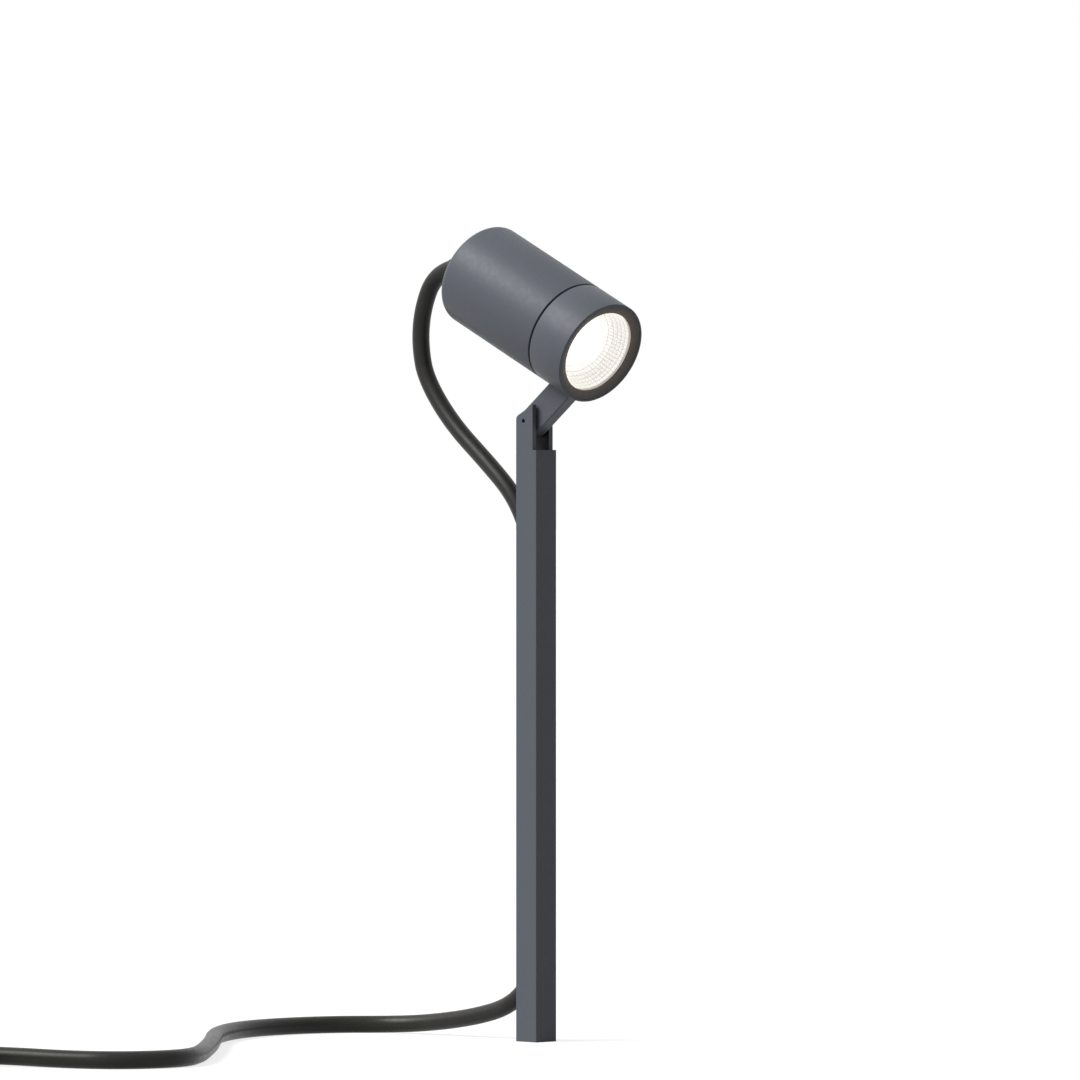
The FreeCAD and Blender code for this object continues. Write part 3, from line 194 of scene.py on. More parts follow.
# Heights in the post, in millimetres: from the ground cable's start to the loop's end.
POST_HEIGHTS = range(60, 251, 10)
GROUND_ROUTE = [
    mm(*point)
    for point in (
        (0.0, 0.0, 60.0),
        (0.0, 0.0, 44.0),
        (0.0, 8.7, 27.7),
        (0.0, 24.5, 17.8),
        (0.0, 47.0, 12.2),
        (0.2, 72.0, 8.4),
        (-1.0, 96.0, 5.9),
        (-7.0, 117.0, 4.9),
        (-24.0, 134.0, 4.9),
        (-50.0, 143.0, 4.9),
        (-82.0, 142.5, 4.9),
        (-113.0, 131.0, 4.9),
        (-148.0, 106.0, 4.9),
        (-189.0, 64.0, 4.9),
        (-231.0, 24.0, 4.9),
        (-268.0, -9.5, 4.9),
        (-291.0, -23.5, 4.9),
        (-314.0, -22.0, 4.9),
        (-333.0, -9.5, 4.9),
        (-344.0, 15.0, 4.9),
        (-357.0, 49.0, 5.9),
    )
]

COIL_HEADING = math.radians(114)
COIL_APPROACH = 0.052
COIL_RADIUS = 0.070
COIL_PITCH = 0.0103
COIL_HEIGHT = 0.0059
COIL_TURNS = 5.25
COIL_TURN_BACK = 2.75
COIL_CLIMB_FROM = 2.5
COIL_CLIMB_TURNS = 0.5
POINTS_A_TURN = 16
# A quadratic spline runs inside its control points, so they stand out by this factor.
COIL_SPREAD = 1 / (0.75 + 0.25 * math.cos(2 * math.pi / POINTS_A_TURN))
PLUG_LEAD = 0.040
PLUG_HEIGHT = 0.0175

coil_way = Vector((math.cos(COIL_HEADING), math.sin(COIL_HEADING), 0))
coil_aside = Vector((-coil_way.y, coil_way.x, 0))
coil_entry = GROUND_ROUTE[-1] + coil_way * COIL_APPROACH
coil_begin = coil_entry + coil_way * 2 * CABLE_RADIUS
COIL_CENTRE = coil_begin + coil_aside * COIL_RADIUS


def coil_place(turn):
    """A point of the coil's centreline: inwards on the ground, then outwards on top."""
    wound = turn if turn <= COIL_TURN_BACK else 2 * COIL_TURN_BACK - turn
    reach = COIL_RADIUS - COIL_PITCH * wound
    climbed = min(max((turn - COIL_CLIMB_FROM) / COIL_CLIMB_TURNS, 0), 1)
    angle = COIL_HEADING - math.pi / 2 + 2 * math.pi * turn
    place = COIL_CENTRE + Vector((math.cos(angle), math.sin(angle), 0)) * reach * COIL_SPREAD
    place.z = COIL_HEIGHT + COIL_PITCH * climbed
    return place


coil_steps = int(COIL_TURNS * POINTS_A_TURN)
coil_points = [coil_place(step / POINTS_A_TURN) for step in range(coil_steps + 1)]
last_reach = COIL_RADIUS - COIL_PITCH * (2 * COIL_TURN_BACK - COIL_TURNS)
last_place = COIL_CENTRE + coil_way * last_reach
last_place.z = COIL_HEIGHT + COIL_PITCH
lead_start = last_place + coil_aside * 2 * CABLE_RADIUS
plug_end = lead_start + coil_aside * PLUG_LEAD
plug_end.z = PLUG_HEIGHT
lead_points = [
    lead_start + coil_aside * PLUG_LEAD / 3,
    plug_end - coil_aside * PLUG_LEAD / 3,
    plug_end,
]


# ---------------------------------------------------------------- curves and meshes

SPLINE_STEPS = 10
BEVEL_STEPS = 7
TUBE_SIDES = 40
RELIEF_SIDES = 48
TURNED_SIDES = 192
# Edges whose faces meet at less than so many degrees are shaded smooth.
SMOOTH_BELOW = 35.0
RELIEF_SMOOTH_BELOW = 40.0
TURNED_SMOOTH_BELOW = 28.0
FACET_SMOOTH_BELOW = 9.0


def nurbs(name, points, radius=0.0):
    """A curve object with one open spline of order 3 through its end points. Its thickness is in
    the points, because a curve's box counts them."""
    curve = bpy.data.curves.new(name, "CURVE")
    curve.dimensions = "3D"
    spline = curve.splines.new("NURBS")
    spline.points.add(len(points) - 1)
    for point, place in zip(spline.points, points):
        point.co = (*place, 1)
        point.radius = radius
    spline.order_u = 3
    spline.use_endpoint_u = True
    spline.resolution_u = SPLINE_STEPS
    curve.bevel_depth = 1.0 if radius > 0 else 0.0
    curve.bevel_resolution = BEVEL_STEPS
    curve.use_fill_caps = radius > 0
    piece = bpy.data.objects.new(name, curve)
    bpy.context.scene.collection.objects.link(piece)
    return piece


def route_line(points):
    """The points of a route's smooth line."""
    guide = nurbs("guide", points)
    line = bpy.data.meshes.new_from_object(guide)
    places = [vertex.co.copy() for vertex in line.vertices]
    bpy.data.objects.remove(guide)
    bpy.data.meshes.remove(line)
    return places


def band(build, first, second):
    """The faces between two closed rings of vertices. Where a ring is a single point, the faces
    are triangles, and between two such rings there are none."""
    faces = []
    for k in range(len(first)):
        after = (k + 1) % len(first)
        corners = list(dict.fromkeys((first[k], first[after], second[after], second[k])))
        if len(corners) > 2:
            faces.append(build.faces.new(corners))
    return faces


def made_piece(name, build, smooth_below=SMOOTH_BELOW, place=None):
    """An object for a built mesh, smooth but for its corners, moved to its place."""
    bmesh.ops.recalc_face_normals(build, faces=build.faces)
    if place is not None:
        build.transform(place)
    mesh = bpy.data.meshes.new(name)
    build.to_mesh(mesh)
    build.free()
    mesh.polygons.foreach_set("use_smooth", [True] * len(mesh.polygons))
    mesh.set_sharp_from_angle(angle=math.radians(smooth_below))
    piece = bpy.data.objects.new(name, mesh)
    bpy.context.scene.collection.objects.link(piece)
    return piece


def swept(name, line, radii, sides=TUBE_SIDES, smooth_below=SMOOTH_BELOW):
    """A closed round tube along a line, with a radius at each of its points."""
    build = bmesh.new()
    turns = [2 * math.pi * k / sides for k in range(sides)]
    side = Vector((1, 0, 0))
    rings = []
    for index, (place, radius) in enumerate(zip(line, radii)):
        way = (line[min(index + 1, len(line) - 1)] - line[max(index - 1, 0)]).normalized()
        side = (side - way * side.dot(way)).normalized()
        up = way.cross(side)
        outwards = [side * math.cos(turn) + up * math.sin(turn) for turn in turns]
        rings.append([build.verts.new(place + outward * radius) for outward in outwards])
    for first, second in zip(rings, rings[1:]):
        band(build, first, second)
    build.faces.new(rings[0][::-1])
    build.faces.new(rings[-1])
    return made_piece(name, build, smooth_below)


def turned(name, profile):
    """A closed body of revolution on the head, from (radius, depth) corners in millimetres."""
    build = bmesh.new()
    turns = [2 * math.pi * k / TURNED_SIDES for k in range(TURNED_SIDES)]
    rings = []
    for radius, depth in profile:
        if radius == 0:
            rings.append([build.verts.new(mm(0, 0, depth))] * TURNED_SIDES)
            continue
        places = [mm(radius * math.cos(turn), radius * math.sin(turn), depth) for turn in turns]
        rings.append([build.verts.new(place) for place in places])
    for first, second in zip(rings, rings[1:] + rings[:1]):
        band(build, first, second)
    piece = made_piece(name, build, TURNED_SMOOTH_BELOW, HEAD)
    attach(piece, "head")
    return piece


def arc(centre_radius, centre_depth, radius, start, stop, steps):
    """Points of an arc in the (radius, depth) plane, with angles in degrees."""
    angles = [math.radians(start + (stop - start) * step / steps) for step in range(steps + 1)]
    return [
        (centre_radius + radius * math.cos(angle), centre_depth + radius * math.sin(angle))
        for angle in angles
    ]


# ---------------------------------------------------------------- cables

loop_line = route_line(LOOP_ROUTE)
loop = swept("head_cable", loop_line, [CABLE_RADIUS] * len(loop_line))
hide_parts("cable_loop")
# Between these points the cable keeps most of its thickness at both limits of the tilt.
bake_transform(loop)

post_line = [mm(0, 0, height) for height in POST_HEIGHTS]
held = swept("post_cable", post_line, [CABLE_RADIUS] * len(post_line))
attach(held, "stand")
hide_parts("cable_in_post")

TIE_TURNS = (0.5, 1.5, 2.5, 3.5, 4.5)
TIE_SPAN = 0.02
TIE_WIDTH = 0.010
TIE_GAP = 0.0001
TIE_THICKNESS = 0.0008
TIE_EDGE = 0.0002
TIE_SIDES = 48


def tie_strap():
    """The soft strap pulled tight round all turns of the coil."""
    places = []
    for turn in TIE_TURNS:
        for shift in (-TIE_SPAN, 0.0, TIE_SPAN):
            place = coil_place(turn + shift)
            places.append(Vector(((place - COIL_CENTRE).xy.length / COIL_SPREAD, place.z)))
    step = 2 * math.pi / TIE_SIDES
    ways = [Vector((math.cos(step * k), math.sin(step * k))) for k in range(TIE_SIDES)]
    rims = [(place, way) for place in places for way in ways]
    hull = convex_hull_2d([place + way * CABLE_RADIUS for place, way in rims])
    half, inner = TIE_WIDTH / 2, CABLE_RADIUS + TIE_GAP
    outer = inner + TIE_THICKNESS
    profile = [(-half, inner), (-half, outer - TIE_EDGE), (-half + TIE_EDGE, outer)]
    profile += [(-aside, reach) for aside, reach in reversed(profile)]
    foot = Vector((*COIL_CENTRE.xy, 0))
    build = bmesh.new()
    rings = []
    for index in hull:
        place, way = rims[index]
        ring = []
        for aside, reach in profile:
            flat = place + way * reach
            height = Vector((0, 0, flat.y))
            ring.append(build.verts.new(foot + coil_aside * flat.x + coil_way * aside + height))
        rings.append(ring)
    for first, second in zip(rings, rings[1:] + rings[:1]):
        band(build, first, second)
    strap = made_piece("coil_strap", build)
    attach(strap, "stand")
    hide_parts("coil_tie")
    return strap


strap = tie_strap()
mains_route = GROUND_ROUTE + [coil_entry] + coil_points + lead_points
mains = nurbs("ground_and_coil_cable", mains_route, CABLE_RADIUS)
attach(mains, "stand")
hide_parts("ground_cable", "cable_coil", "plug_lead")


# ---------------------------------------------------------------- materials

REFRACTION = 1.45
# Most of a noise texture's values lie between these two.
NOISE_LOW = 0.3
NOISE_HIGH = 0.7
GLOSS_SPREAD = 0.08
LAMP_TINT = (1.0, 0.94, 0.86)
# Painted light on the ring round the lens: the colour, strength and reach of a glow that stands
# in for the lens's light falling on it.
RECESS_GLOW_TINT = (1.0, 0.60, 0.36)
RECESS_GLOW = 0.035
RECESS_GLOW_REACH = 0.0035
# Painted shade inside the post's channel: within this half width, with a soft edge, up to a
# little above the pivot and fading out over a short span.
CHANNEL_HALF = 0.00502
SHADE_EDGE = 0.0002
EAR_SHADE_UP_TO = PIVOT.z + 0.002
EAR_SHADE_FADE = 0.003
# The colour sockets of a mix node.
MIX_FIRST, MIX_SECOND, MIX_RESULT = 6, 7, 2


def math_node(tree, operation, *values):
    """The result of a math node on sockets or plain numbers."""
    node = tree.nodes.new("ShaderNodeMath")
    node.operation = operation
    for value, socket in zip(values, node.inputs):
        if isinstance(value, float):
            socket.default_value = value
        else:
            tree.links.new(value, socket)
    return node.outputs["Value"]


class Material:
    """A node material around one Principled shader, with its texture in object coordinates."""

    def __init__(self, name, roughness, metallic=0.0, specular=0.5):
        self.material = bpy.data.materials.new(name)
        self.material.use_nodes = True
        self.tree = self.material.node_tree
        self.shader = self.tree.nodes["Principled BSDF"]
        self.shader.inputs["Roughness"].default_value = roughness
        self.shader.inputs["Metallic"].default_value = metallic
        self.shader.inputs["Specular IOR Level"].default_value = specular
        self.shader.inputs["IOR"].default_value = REFRACTION
        self.place = self.tree.nodes.new("ShaderNodeTexCoord").outputs["Object"]

    def link(self, source, target):
        self.tree.links.new(source, target)

    def noise(self, scale, detail, stretch=None):
        """Noise with so many features to the metre, stretched along an axis."""
        place = self.place
        if stretch is not None:
            mapping = self.tree.nodes.new("ShaderNodeMapping")
            mapping.inputs["Scale"].default_value = stretch
            self.link(place, mapping.inputs["Vector"])
            place = mapping.outputs["Vector"]
        texture = self.tree.nodes.new("ShaderNodeTexNoise")
        texture.inputs["Scale"].default_value = scale
        texture.inputs["Detail"].default_value = detail
        self.link(place, texture.inputs["Vector"])
        return texture.outputs["Fac"]

    def distance(self, point):
        """How far a place is from a point, in metres."""
        node = self.tree.nodes.new("ShaderNodeVectorMath")
        node.operation = "DISTANCE"
        self.link(self.place, node.inputs[0])
        node.inputs[1].default_value = point
        return node.outputs["Value"]

    def glow(self, tint, point, near, far, start, stop):
        """Painted light of its own, from one strength to another by the distance from a point."""
        strength = self.span(self.distance(point), near, far, start, stop)
        self.shader.inputs["Emission Color"].default_value = (*tint, 1)
        self.link(strength, self.shader.inputs["Emission Strength"])

    def span(self, source, low, high, start=NOISE_LOW, stop=NOISE_HIGH):
        """A value carried from one range to another."""
        node = self.tree.nodes.new("ShaderNodeMapRange")
        node.inputs["From Min"].default_value = start
        node.inputs["From Max"].default_value = stop
        node.inputs["To Min"].default_value = low
        node.inputs["To Max"].default_value = high
        self.link(source, node.inputs["Value"])
        return node.outputs["Result"]

    def colour(self, first, second, source, start=NOISE_LOW, stop=NOISE_HIGH):
        """Base colour between two linear colours, by a value."""
        ramp = self.tree.nodes.new("ShaderNodeValToRGB")
        ramp.color_ramp.elements[0].position = start
        ramp.color_ramp.elements[1].position = stop
        ramp.color_ramp.elements[0].color = (*first, 1)
        ramp.color_ramp.elements[1].color = (*second, 1)
        self.link(source, ramp.inputs["Fac"])
        self.link(ramp.outputs["Color"], self.shader.inputs["Base Color"])

    def roughness(self, source, low, high):
        """Gloss that varies between two roughnesses, by a value."""
        self.link(self.span(source, low, high), self.shader.inputs["Roughness"])

    def bump(self, source, depth):
        """Relief so many metres deep, on top of any that is there."""
        node = self.tree.nodes.new("ShaderNodeBump")
        node.inputs["Strength"].default_value = 1.0
        node.inputs["Distance"].default_value = depth
        self.link(source, node.inputs["Height"])
        socket = self.shader.inputs["Normal"]
        if socket.is_linked:
            self.link(socket.links[0].from_socket, node.inputs["Normal"])
        self.link(node.outputs["Normal"], socket)


def shade(colour, factor):
    """A colour made lighter or darker."""
    return tuple(channel * factor for channel in colour)


def surface(
    name, colour, roughness, grain, depth, metallic=0.0, specular=0.5, vary=0.08, stretch=None
):
    """A finish with mottled colour, uneven gloss and a fine grain."""
    made = Material(name, roughness, metallic, specular)
    made.colour(shade(colour, 1 - vary), shade(colour, 1 + vary), made.noise(60, 4))
    made.roughness(made.noise(180, 3), roughness - GLOSS_SPREAD, roughness + GLOSS_SPREAD)
    made.bump(made.noise(grain, 2, stretch), depth)
    return made


def powder_coat(name="powder_coat"):
    """Matt grey powder coat: orange peel and a fine grain with lighter flakes."""
    made = Material(name, 0.46, specular=0.2)
    grain = made.noise(2600, 2)
    made.colour((0.099, 0.107, 0.126), (0.114, 0.124, 0.146), grain, 0.35, 0.68)
    made.roughness(made.noise(300, 3), 0.40, 0.48)
    made.bump(made.noise(420, 2), 0.00003)
    made.bump(grain, 0.00002)
    return made


def post_painted_shade_coat():
    """The same coat on the post and the ears, with painted shade inside the channel below them:
    its inner faces are painted near-black where shade falls."""
    made = powder_coat("post_painted_shade_coat")
    parts = made.tree.nodes.new("ShaderNodeSeparateXYZ")
    made.link(made.place, parts.inputs["Vector"])
    aside = math_node(made.tree, "ABSOLUTE", parts.outputs["X"])
    between = made.span(aside, 1.0, 0.0, CHANNEL_HALF, CHANNEL_HALF + SHADE_EDGE)
    behind = made.span(parts.outputs["Y"], 0.0, 1.0, -CHANNEL_HALF - SHADE_EDGE, -CHANNEL_HALF)
    below = made.span(parts.outputs["Z"], 1.0, 0.0, EAR_SHADE_UP_TO, EAR_SHADE_UP_TO + EAR_SHADE_FADE)
    inside = math_node(made.tree, "MULTIPLY", between, behind)
    painted_shade = math_node(made.tree, "MULTIPLY", inside, below)
    base_colour = made.shader.inputs["Base Color"]
    mix = made.tree.nodes.new("ShaderNodeMix")
    mix.data_type = "RGBA"
    made.link(painted_shade, mix.inputs["Factor"])
    made.link(base_colour.links[0].from_socket, mix.inputs[MIX_FIRST])
    # The near-black colour of the painted shade inside the channel.
    mix.inputs[MIX_SECOND].default_value = (0.012, 0.012, 0.014, 1)
    made.link(mix.outputs[MIX_RESULT], base_colour)
    return made


def rubber_sheath():
    """Matt black rubber with a faint bloom and fine marks from extrusion."""
    made = Material("rubber_sheath", 0.4, specular=0.22)
    made.colour((0.023, 0.022, 0.021), (0.030, 0.029, 0.027), made.noise(60, 3))
    made.roughness(made.noise(400, 3), 0.33, 0.42)
    made.bump(made.noise(1500, 3), 0.00001)
    return made


def clear_glass():
    """Clear glass with the faintest marks."""
    made = Material("clear_glass", 0.0)
    made.shader.inputs["Transmission Weight"].default_value = 1.0
    made.colour((0.97, 0.98, 0.98), (1.0, 1.0, 1.0), made.noise(40, 2))
    made.roughness(made.noise(260, 4), 0.0, 0.003)
    return made


def painted_glow_metal():
    """Bright metal with painted light: a glow, strongest near the light source, stands in for the
    lamp's light on it.
    """
    made = Material("painted_glow_metal", 0.22, 1.0)
    made.colour((0.56, 0.55, 0.54), (0.62, 0.61, 0.59), made.noise(400, 2))
    made.roughness(made.noise(900, 2), 0.18, 0.26)
    made.glow(LAMP_TINT, LIGHT_SOURCE, 1.4, 0.44, 0.010, 0.024)
    return made


def seam_metal_with_painted_glow():
    """The duller lines between the facets, with a painted glow for the glare near the light
    source, in which they fade out.
    """
    made = Material("seam_metal_with_painted_glow", 0.35, 1.0)
    made.colour((0.38, 0.375, 0.37), (0.44, 0.435, 0.43), made.noise(400, 2))
    made.roughness(made.noise(900, 2), 0.30, 0.40)
    made.glow(LAMP_TINT, LIGHT_SOURCE, 1.5, 0.35, 0.010, 0.022)
    return made


def recess_with_painted_glow():
    """The ring round the lens: dark paint with a painted glow of the lens's warm light on its
    inner half.
    """
    made = surface("recess_with_painted_glow", (0.052, 0.047, 0.044), 0.55, 2200, 0.00003)
    lens_centre = HEAD @ mm(0, 0, GLASS_FRONT)
    inner = LENS_RADIUS * MM
    made.glow(RECESS_GLOW_TINT, lens_centre, RECESS_GLOW, 0.0, inner, inner + RECESS_GLOW_REACH)
    return made


def white_plastic_with_painted_glow():
    """White plastic round the light source, with a painted glow for its full light."""
    made = surface("white_plastic_with_painted_glow", (0.72, 0.72, 0.69), 0.45, 1200, 0.00002, vary=0.04)
    made.glow(LAMP_TINT, LIGHT_SOURCE, 0.9, 0.0, 0.007, 0.010)
    return made


def glowing():
    """The light source itself, switched on."""
    made = Material("glowing", 0.4)
    made.colour((0.95, 0.80, 0.45), (1.0, 0.88, 0.55), made.noise(1500, 2))
    made.bump(made.noise(2500, 2), 0.00004)
    made.shader.inputs["Emission Color"].default_value = (1.0, 0.93, 0.82, 1)
    made.shader.inputs["Emission Strength"].default_value = 3.0
    return made


paint = powder_coat()
steel = surface(
    "machined_steel", (0.50, 0.50, 0.51), 0.32, 900, 0.00001, metallic=1.0, stretch=(1, 1, 12)
)
nickel = surface("plated_nickel", (0.48, 0.48, 0.47), 0.28, 700, 0.00001, metallic=1.0)
plate = surface("plated_brass", (0.66, 0.62, 0.52), 0.25, 800, 0.00001, metallic=1.0)
black_plastic = surface("black_plastic", (0.022, 0.022, 0.023), 0.5, 1400, 0.00003)
spike_plastic = surface("spike_plastic", (0.027, 0.027, 0.028), 0.58, 700, 0.00008)
soft_rubber = surface("soft_rubber", (0.018, 0.018, 0.019), 0.6, 1300, 0.00003)
# Near-black, barely glossy rubber for the seal in the groove: darker than the other rubber, as
# painted shade in the groove.
groove_rubber_painted_shade = surface(
    "groove_rubber_painted_shade", (0.004, 0.004, 0.004), 0.8, 1300, 0.00003, specular=0.05
)
moulded_rubber = surface("moulded_rubber", (0.020, 0.020, 0.021), 0.55, 1000, 0.00004)
white_plastic = surface("white_plastic", (0.72, 0.72, 0.69), 0.45, 1200, 0.00002, vary=0.04)
cast_aluminium = surface(
    "cast_aluminium", (0.60, 0.60, 0.61), 0.42, 600, 0.00006, metallic=0.9
)
solder_mask = surface("solder_mask", (0.02, 0.13, 0.05), 0.35, 1500, 0.00002)
component_black = surface("component_black", (0.02, 0.02, 0.024), 0.4, 1200, 0.00002)
gel_pad = surface("gel_pad", (0.40, 0.43, 0.50), 0.7, 900, 0.00005)
brown_wire = surface("brown_wire", (0.16, 0.07, 0.03), 0.4, 1200, 0.00002)
red_wire = surface("red_wire", (0.42, 0.03, 0.02), 0.4, 1200, 0.00002)
cable = rubber_sheath()
glass = clear_glass()
facet_metal_with_painted_glow = painted_glow_metal()
recess_paint_with_painted_glow = recess_with_painted_glow()
lamp_white_with_painted_glow = white_plastic_with_painted_glow()

FINISHES = {
    "body_paint": paint,
    "bezel_paint": recess_paint_with_painted_glow,
    "front_glass": glass,
    "reflector_metal": facet_metal_with_painted_glow,
    "seal_rubber": soft_rubber,
    "holder_plastic": lamp_white_with_painted_glow,
    "thermal_gel": gel_pad,
    "board_white": lamp_white_with_painted_glow,
    "emitter_phosphor": glowing(),
    "sink_aluminium": cast_aluminium,
    "case_plastic": white_plastic,
    "circuit_green": solder_mask,
    "component_black": component_black,
    "terminal_plastic": white_plastic,
    "wire_brown": brown_wire,
    "wire_red": red_wire,
    "gland_nickel": nickel,
    "steel": steel,
    "washer_nylon": black_plastic,
    "spike_plastic": spike_plastic,
    "clip_plastic": black_plastic,
    "cable_rubber": cable,
    "tie_plastic": black_plastic,
    "plug_rubber": moulded_rubber,
    "insert_plastic": black_plastic,
    "pin_nickel": nickel,
    "earth_spring": plate,
}


def dress(piece, finish):
    """Give a piece one material, whatever slots it has."""
    if not piece.data.materials:
        piece.data.materials.append(finish.material)
    for index in range(len(piece.data.materials)):
        piece.data.materials[index] = finish.material


slots = {part["node"]: part["material_slot"] for part in frame["record"]["subparts"]}
for name, node in nodes.items():
    dress(node, FINISHES[slots[name]])
# The post's coat carries painted shade inside its channel.
dress(nodes["post"], post_painted_shade_coat())
# The seal's near-black rubber is painted shade in the groove.
dress(nodes["housing_seal"], groove_rubber_painted_shade)
for cable_piece in (loop, held, mains):
    dress(cable_piece, cable)
dress(strap, black_plastic)


# ---------------------------------------------------------------- turned pieces of the head

# The lip's arc starts on the second point again, so there is a ring of faces without area.
front = turned(
    "front_tube",
    [(LIP_BORE, SEAT_DEPTH), (LIP_BORE, LIP_ROUND)]
    + arc(LIP_BORE + LIP_ROUND, LIP_ROUND, LIP_ROUND, 180, 270, 4)
    + arc(HEAD_RADIUS - RIM_ROUND, RIM_ROUND, RIM_ROUND, 270, 360, 5)
    + arc(HEAD_RADIUS - EDGE, FRONT_LENGTH - EDGE, EDGE, 0, 90, 4)
    + [
        (NECK_RADIUS, FRONT_LENGTH),
        (NECK_RADIUS, NECK_END),
        (NECK_BORE, NECK_END),
        (NECK_BORE, SEAT_DEPTH),
    ],
)
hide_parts("front_housing")
dress(front, paint)

rear = turned(
    "rear_tube",
    [(REAR_BORE, SINK_BACK), (REAR_BORE, REAR_START)]
    + arc(HEAD_RADIUS - EDGE, REAR_START + EDGE, EDGE, 270, 360, 4)
    + arc(HEAD_RADIUS - REAR_CORNER, HEAD_LENGTH - REAR_CORNER, REAR_CORNER, 0, 90, 14)
    + [
        (GLAND_HOLE, HEAD_LENGTH),
        (GLAND_HOLE, HEAD_LENGTH - REAR_WALL),
        (REAR_INNER, HEAD_LENGTH - REAR_WALL),
        (REAR_INNER, SINK_BACK),
    ],
)
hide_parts("rear_housing")
dress(rear, paint)

bezel = turned(
    "bezel",
    [
        (BEZEL_RADIUS, GLASS_FRONT),
        (BEZEL_RADIUS, BEZEL_EDGE),
        (BEZEL_RADIUS - BEZEL_LIP, BEZEL_EDGE),
        (LENS_RADIUS, GLASS_FRONT - BEZEL_EDGE),
        (LENS_RADIUS, GLASS_FRONT),
    ],
)
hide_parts("bezel_ring")
# The bezel's inner half carries a painted glow of the lens's light.
dress(bezel, recess_paint_with_painted_glow)

pane = turned(
    "glass_pane",
    [(0, GLASS_FRONT)]
    + arc(GLASS_RADIUS - EDGE, GLASS_FRONT + EDGE, EDGE, 270, 360, 3)
    + arc(GLASS_RADIUS - EDGE, GLASS_BACK - EDGE, EDGE, 0, 90, 3)
    + [(0, GLASS_BACK)],
)
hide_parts("front_glass")
dress(pane, glass)


# ---------------------------------------------------------------- reflector


def bowl_arc():
    """The bowl's curve in the (radius, depth) plane: its centre and its first and last angles."""
    chord = Vector((BOWL_MOUTH - BOWL_FOOT, -BOWL_DEPTH))
    middle = Vector(((BOWL_MOUTH + BOWL_FOOT) / 2, REFLECTOR_FRONT + BOWL_DEPTH / 2))
    normal = Vector((-chord.y, chord.x)).normalized()
    half = chord.length / 2
    centre = middle - normal * math.sqrt(BOWL_CURVE**2 - half**2)
    start = Vector((BOWL_FOOT, REFLECTOR_FRONT + BOWL_DEPTH)) - centre
    stop = Vector((BOWL_MOUTH, REFLECTOR_FRONT)) - centre
    return centre, math.atan2(start.y, start.x), math.atan2(stop.y, stop.x)


def faceted_bowl():
    """The reflector's bowl: rings of small pillow facets with seams, from the source to the
    mouth, and a plain outer skin with a flat rim."""
    centre, first_angle, last_angle = bowl_arc()
    cells = len(FACET_CELLS)
    rows = [(ring + cell) / FACET_RINGS for ring in range(FACET_RINGS) for cell in FACET_CELLS]
    columns = [
        (facet + cell) / FACETS_AROUND for facet in range(FACETS_AROUND) for cell in FACET_CELLS
    ]
    build = bmesh.new()

    def arc_place(row, reach):
        """A (radius, depth) place at a share of the curve."""
        angle = first_angle + (last_angle - first_angle) * row
        return centre + Vector((math.cos(angle), math.sin(angle))) * reach

    def facet_place(row, column):
        """A (radius, depth) place on the facets, which rise between their seams."""
        across = math.sin(math.pi * (column * FACETS_AROUND % 1))
        along = math.sin(math.pi * (row * FACET_RINGS % 1))
        return arc_place(row, BOWL_CURVE - FACET_RISE * across * along)

    def ring_of(place_at):
        """One ring of vertices, with a (radius, depth) place for each column."""
        ring = []
        for column in columns:
            radius, depth = place_at(column)
            turn = 2 * math.pi * column
            place = mm(radius * math.cos(turn), radius * math.sin(turn), depth)
            ring.append(build.verts.new(place))
        return ring

    grid = [ring_of(lambda column: facet_place(row, column)) for row in rows + [1.0]]
    seam_cells = (0, cells - 1)
    for row, (below, above) in enumerate(zip(grid, grid[1:])):
        for column, face in enumerate(band(build, below, above)):
            seam = row % cells in seam_cells or column % cells in seam_cells
            face.material_index = 1 if seam else 0

    rim_back = REFLECTOR_FRONT + RIM_THICKNESS
    corners = [(BOWL_FOOT + BOWL_WALL, REFLECTOR_FRONT + BOWL_DEPTH)]
    for step in range(1, BOWL_WALL_STEPS):
        corners.append(arc_place(step / BOWL_WALL_STEPS, BOWL_CURVE + BOWL_WALL))
    corners += [(BOWL_MOUTH + BOWL_WALL, rim_back), (RIM_RADIUS, rim_back)]
    corners += [(RIM_RADIUS, REFLECTOR_FRONT)]
    skin = [ring_of(lambda column: corner) for corner in corners]
    outside = [grid[0], *skin, grid[-1]]
    for near, far in zip(outside, outside[1:]):
        band(build, near, far)
    bowl = made_piece("faceted_reflector", build, FACET_SMOOTH_BELOW, HEAD)
    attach(bowl, "head")
    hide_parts("reflector")
    # Both the facets and the seams carry painted light: glows that stand in for the lamp's light
    # on them.
    for finish in (facet_metal_with_painted_glow, seam_metal_with_painted_glow()):
        bowl.data.materials.append(finish.material)


faceted_bowl()


# ---------------------------------------------------------------- strain relief


def ribbed_relief():
    """The tapered boot, with grooves that let it bend."""
    line, radii = [], []
    for index in range(RELIEF_STEPS + 1):
        share = index / RELIEF_STEPS
        place, _ = relief_place(share)
        radius = RELIEF_ROOT + (RELIEF_TIP - RELIEF_ROOT) * share
        phase = (share - RELIEF_PLAIN_ROOT) / RELIEF_GROOVED * RELIEF_GROOVES
        if 0 < phase < RELIEF_GROOVES:
            wave = max(0.0, math.sin(2 * math.pi * (phase % 1)))
            radius -= RELIEF_GROOVE_DEPTH * wave**RELIEF_GROOVE_FORM
        line.append(place)
        radii.append(radius * MM)
    boot = swept("ribbed_relief", line, radii, RELIEF_SIDES, RELIEF_SMOOTH_BELOW)
    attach(boot, "head")
    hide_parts("strain_relief")
    return boot


dress(ribbed_relief(), soft_rubber)


# ---------------------------------------------------------------- floor, world and lamp

FLOOR_SIZE = 40
FLOOR_COLOUR = 0.30
FLOOR_SEEN = 0.80
WORLD_LIGHT = 0.25
KEY_WAY = (0.607, -0.371, -0.703)
KEY_STRENGTH = 3.6
KEY_SPREAD = math.radians(34)


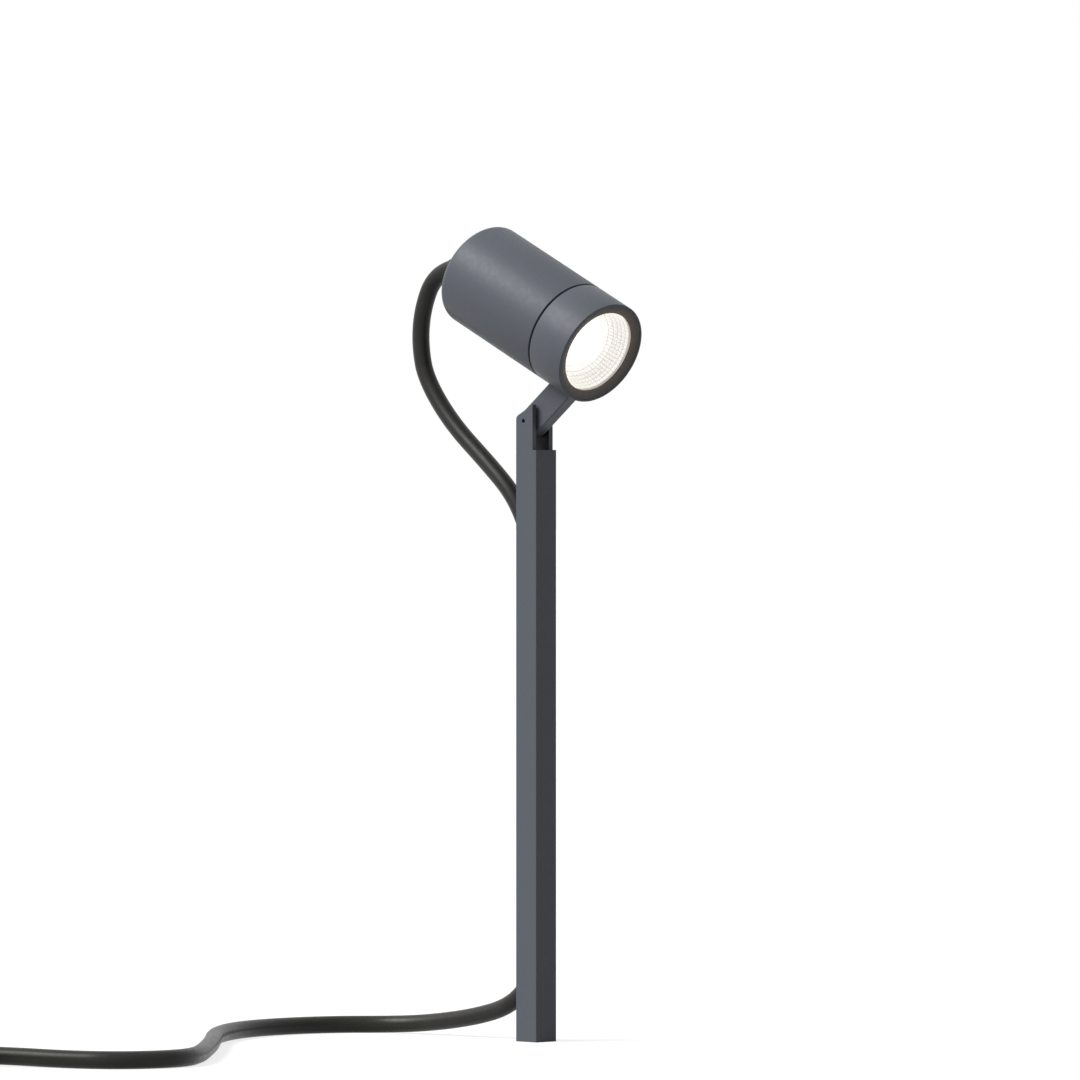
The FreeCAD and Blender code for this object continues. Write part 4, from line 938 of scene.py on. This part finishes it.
def seeing(tree):
    """1 for the rays that show the white surroundings: seen, mirrored or through glass."""
    path = tree.nodes.new("ShaderNodeLightPath")
    result = path.outputs["Is Camera Ray"]
    for kind in ("Is Glossy Ray", "Is Transmission Ray"):
        result = math_node(tree, "MAXIMUM", result, path.outputs[kind])
    return result


def stage_floor():
    """A white floor that is pale by its own colour and still takes the shadows."""
    bpy.ops.mesh.primitive_plane_add(size=FLOOR_SIZE, location=(0, 0, 0))
    floor = bpy.context.object
    floor.name = "floor"
    material = bpy.data.materials.new("floor")
    material.use_nodes = True
    tree = material.node_tree
    tree.nodes.clear()
    out = tree.nodes.new("ShaderNodeOutputMaterial")
    diffuse = tree.nodes.new("ShaderNodeBsdfDiffuse")
    diffuse.inputs["Color"].default_value = (FLOOR_COLOUR, FLOOR_COLOUR, FLOOR_COLOUR, 1)
    glow = tree.nodes.new("ShaderNodeEmission")
    level = math_node(tree, "MULTIPLY", seeing(tree), FLOOR_SEEN)
    tree.links.new(level, glow.inputs["Strength"])
    both = tree.nodes.new("ShaderNodeAddShader")
    tree.links.new(diffuse.outputs["BSDF"], both.inputs[0])
    tree.links.new(glow.outputs["Emission"], both.inputs[1])
    tree.links.new(both.outputs["Shader"], out.inputs["Surface"])
    floor.data.materials.append(material)


def stage_world():
    """White where it is seen or mirrored, and a plain soft light elsewhere."""
    world = bpy.data.worlds.new("studio")
    bpy.context.scene.world = world
    world.use_nodes = True
    tree = world.node_tree
    back = tree.nodes["Background"]
    level = tree.nodes.new("ShaderNodeMapRange")
    level.inputs["To Min"].default_value = WORLD_LIGHT
    level.inputs["To Max"].default_value = 1.0
    tree.links.new(seeing(tree), level.inputs["Value"])
    tree.links.new(level.outputs["Result"], back.inputs["Strength"])
    back.inputs["Color"].default_value = (1, 1, 1, 1)


def key_lamp():
    """The one lamp: a wide soft sun."""
    lamp = bpy.data.objects.new("key", bpy.data.lights.new("key", "SUN"))
    lamp.data.energy = KEY_STRENGTH
    lamp.data.angle = KEY_SPREAD
    lamp.rotation_mode = "QUATERNION"
    lamp.rotation_quaternion = Vector(KEY_WAY).to_track_quat("-Z", "Y")
    bpy.context.scene.collection.objects.link(lamp)


stage_floor()
stage_world()
key_lamp()
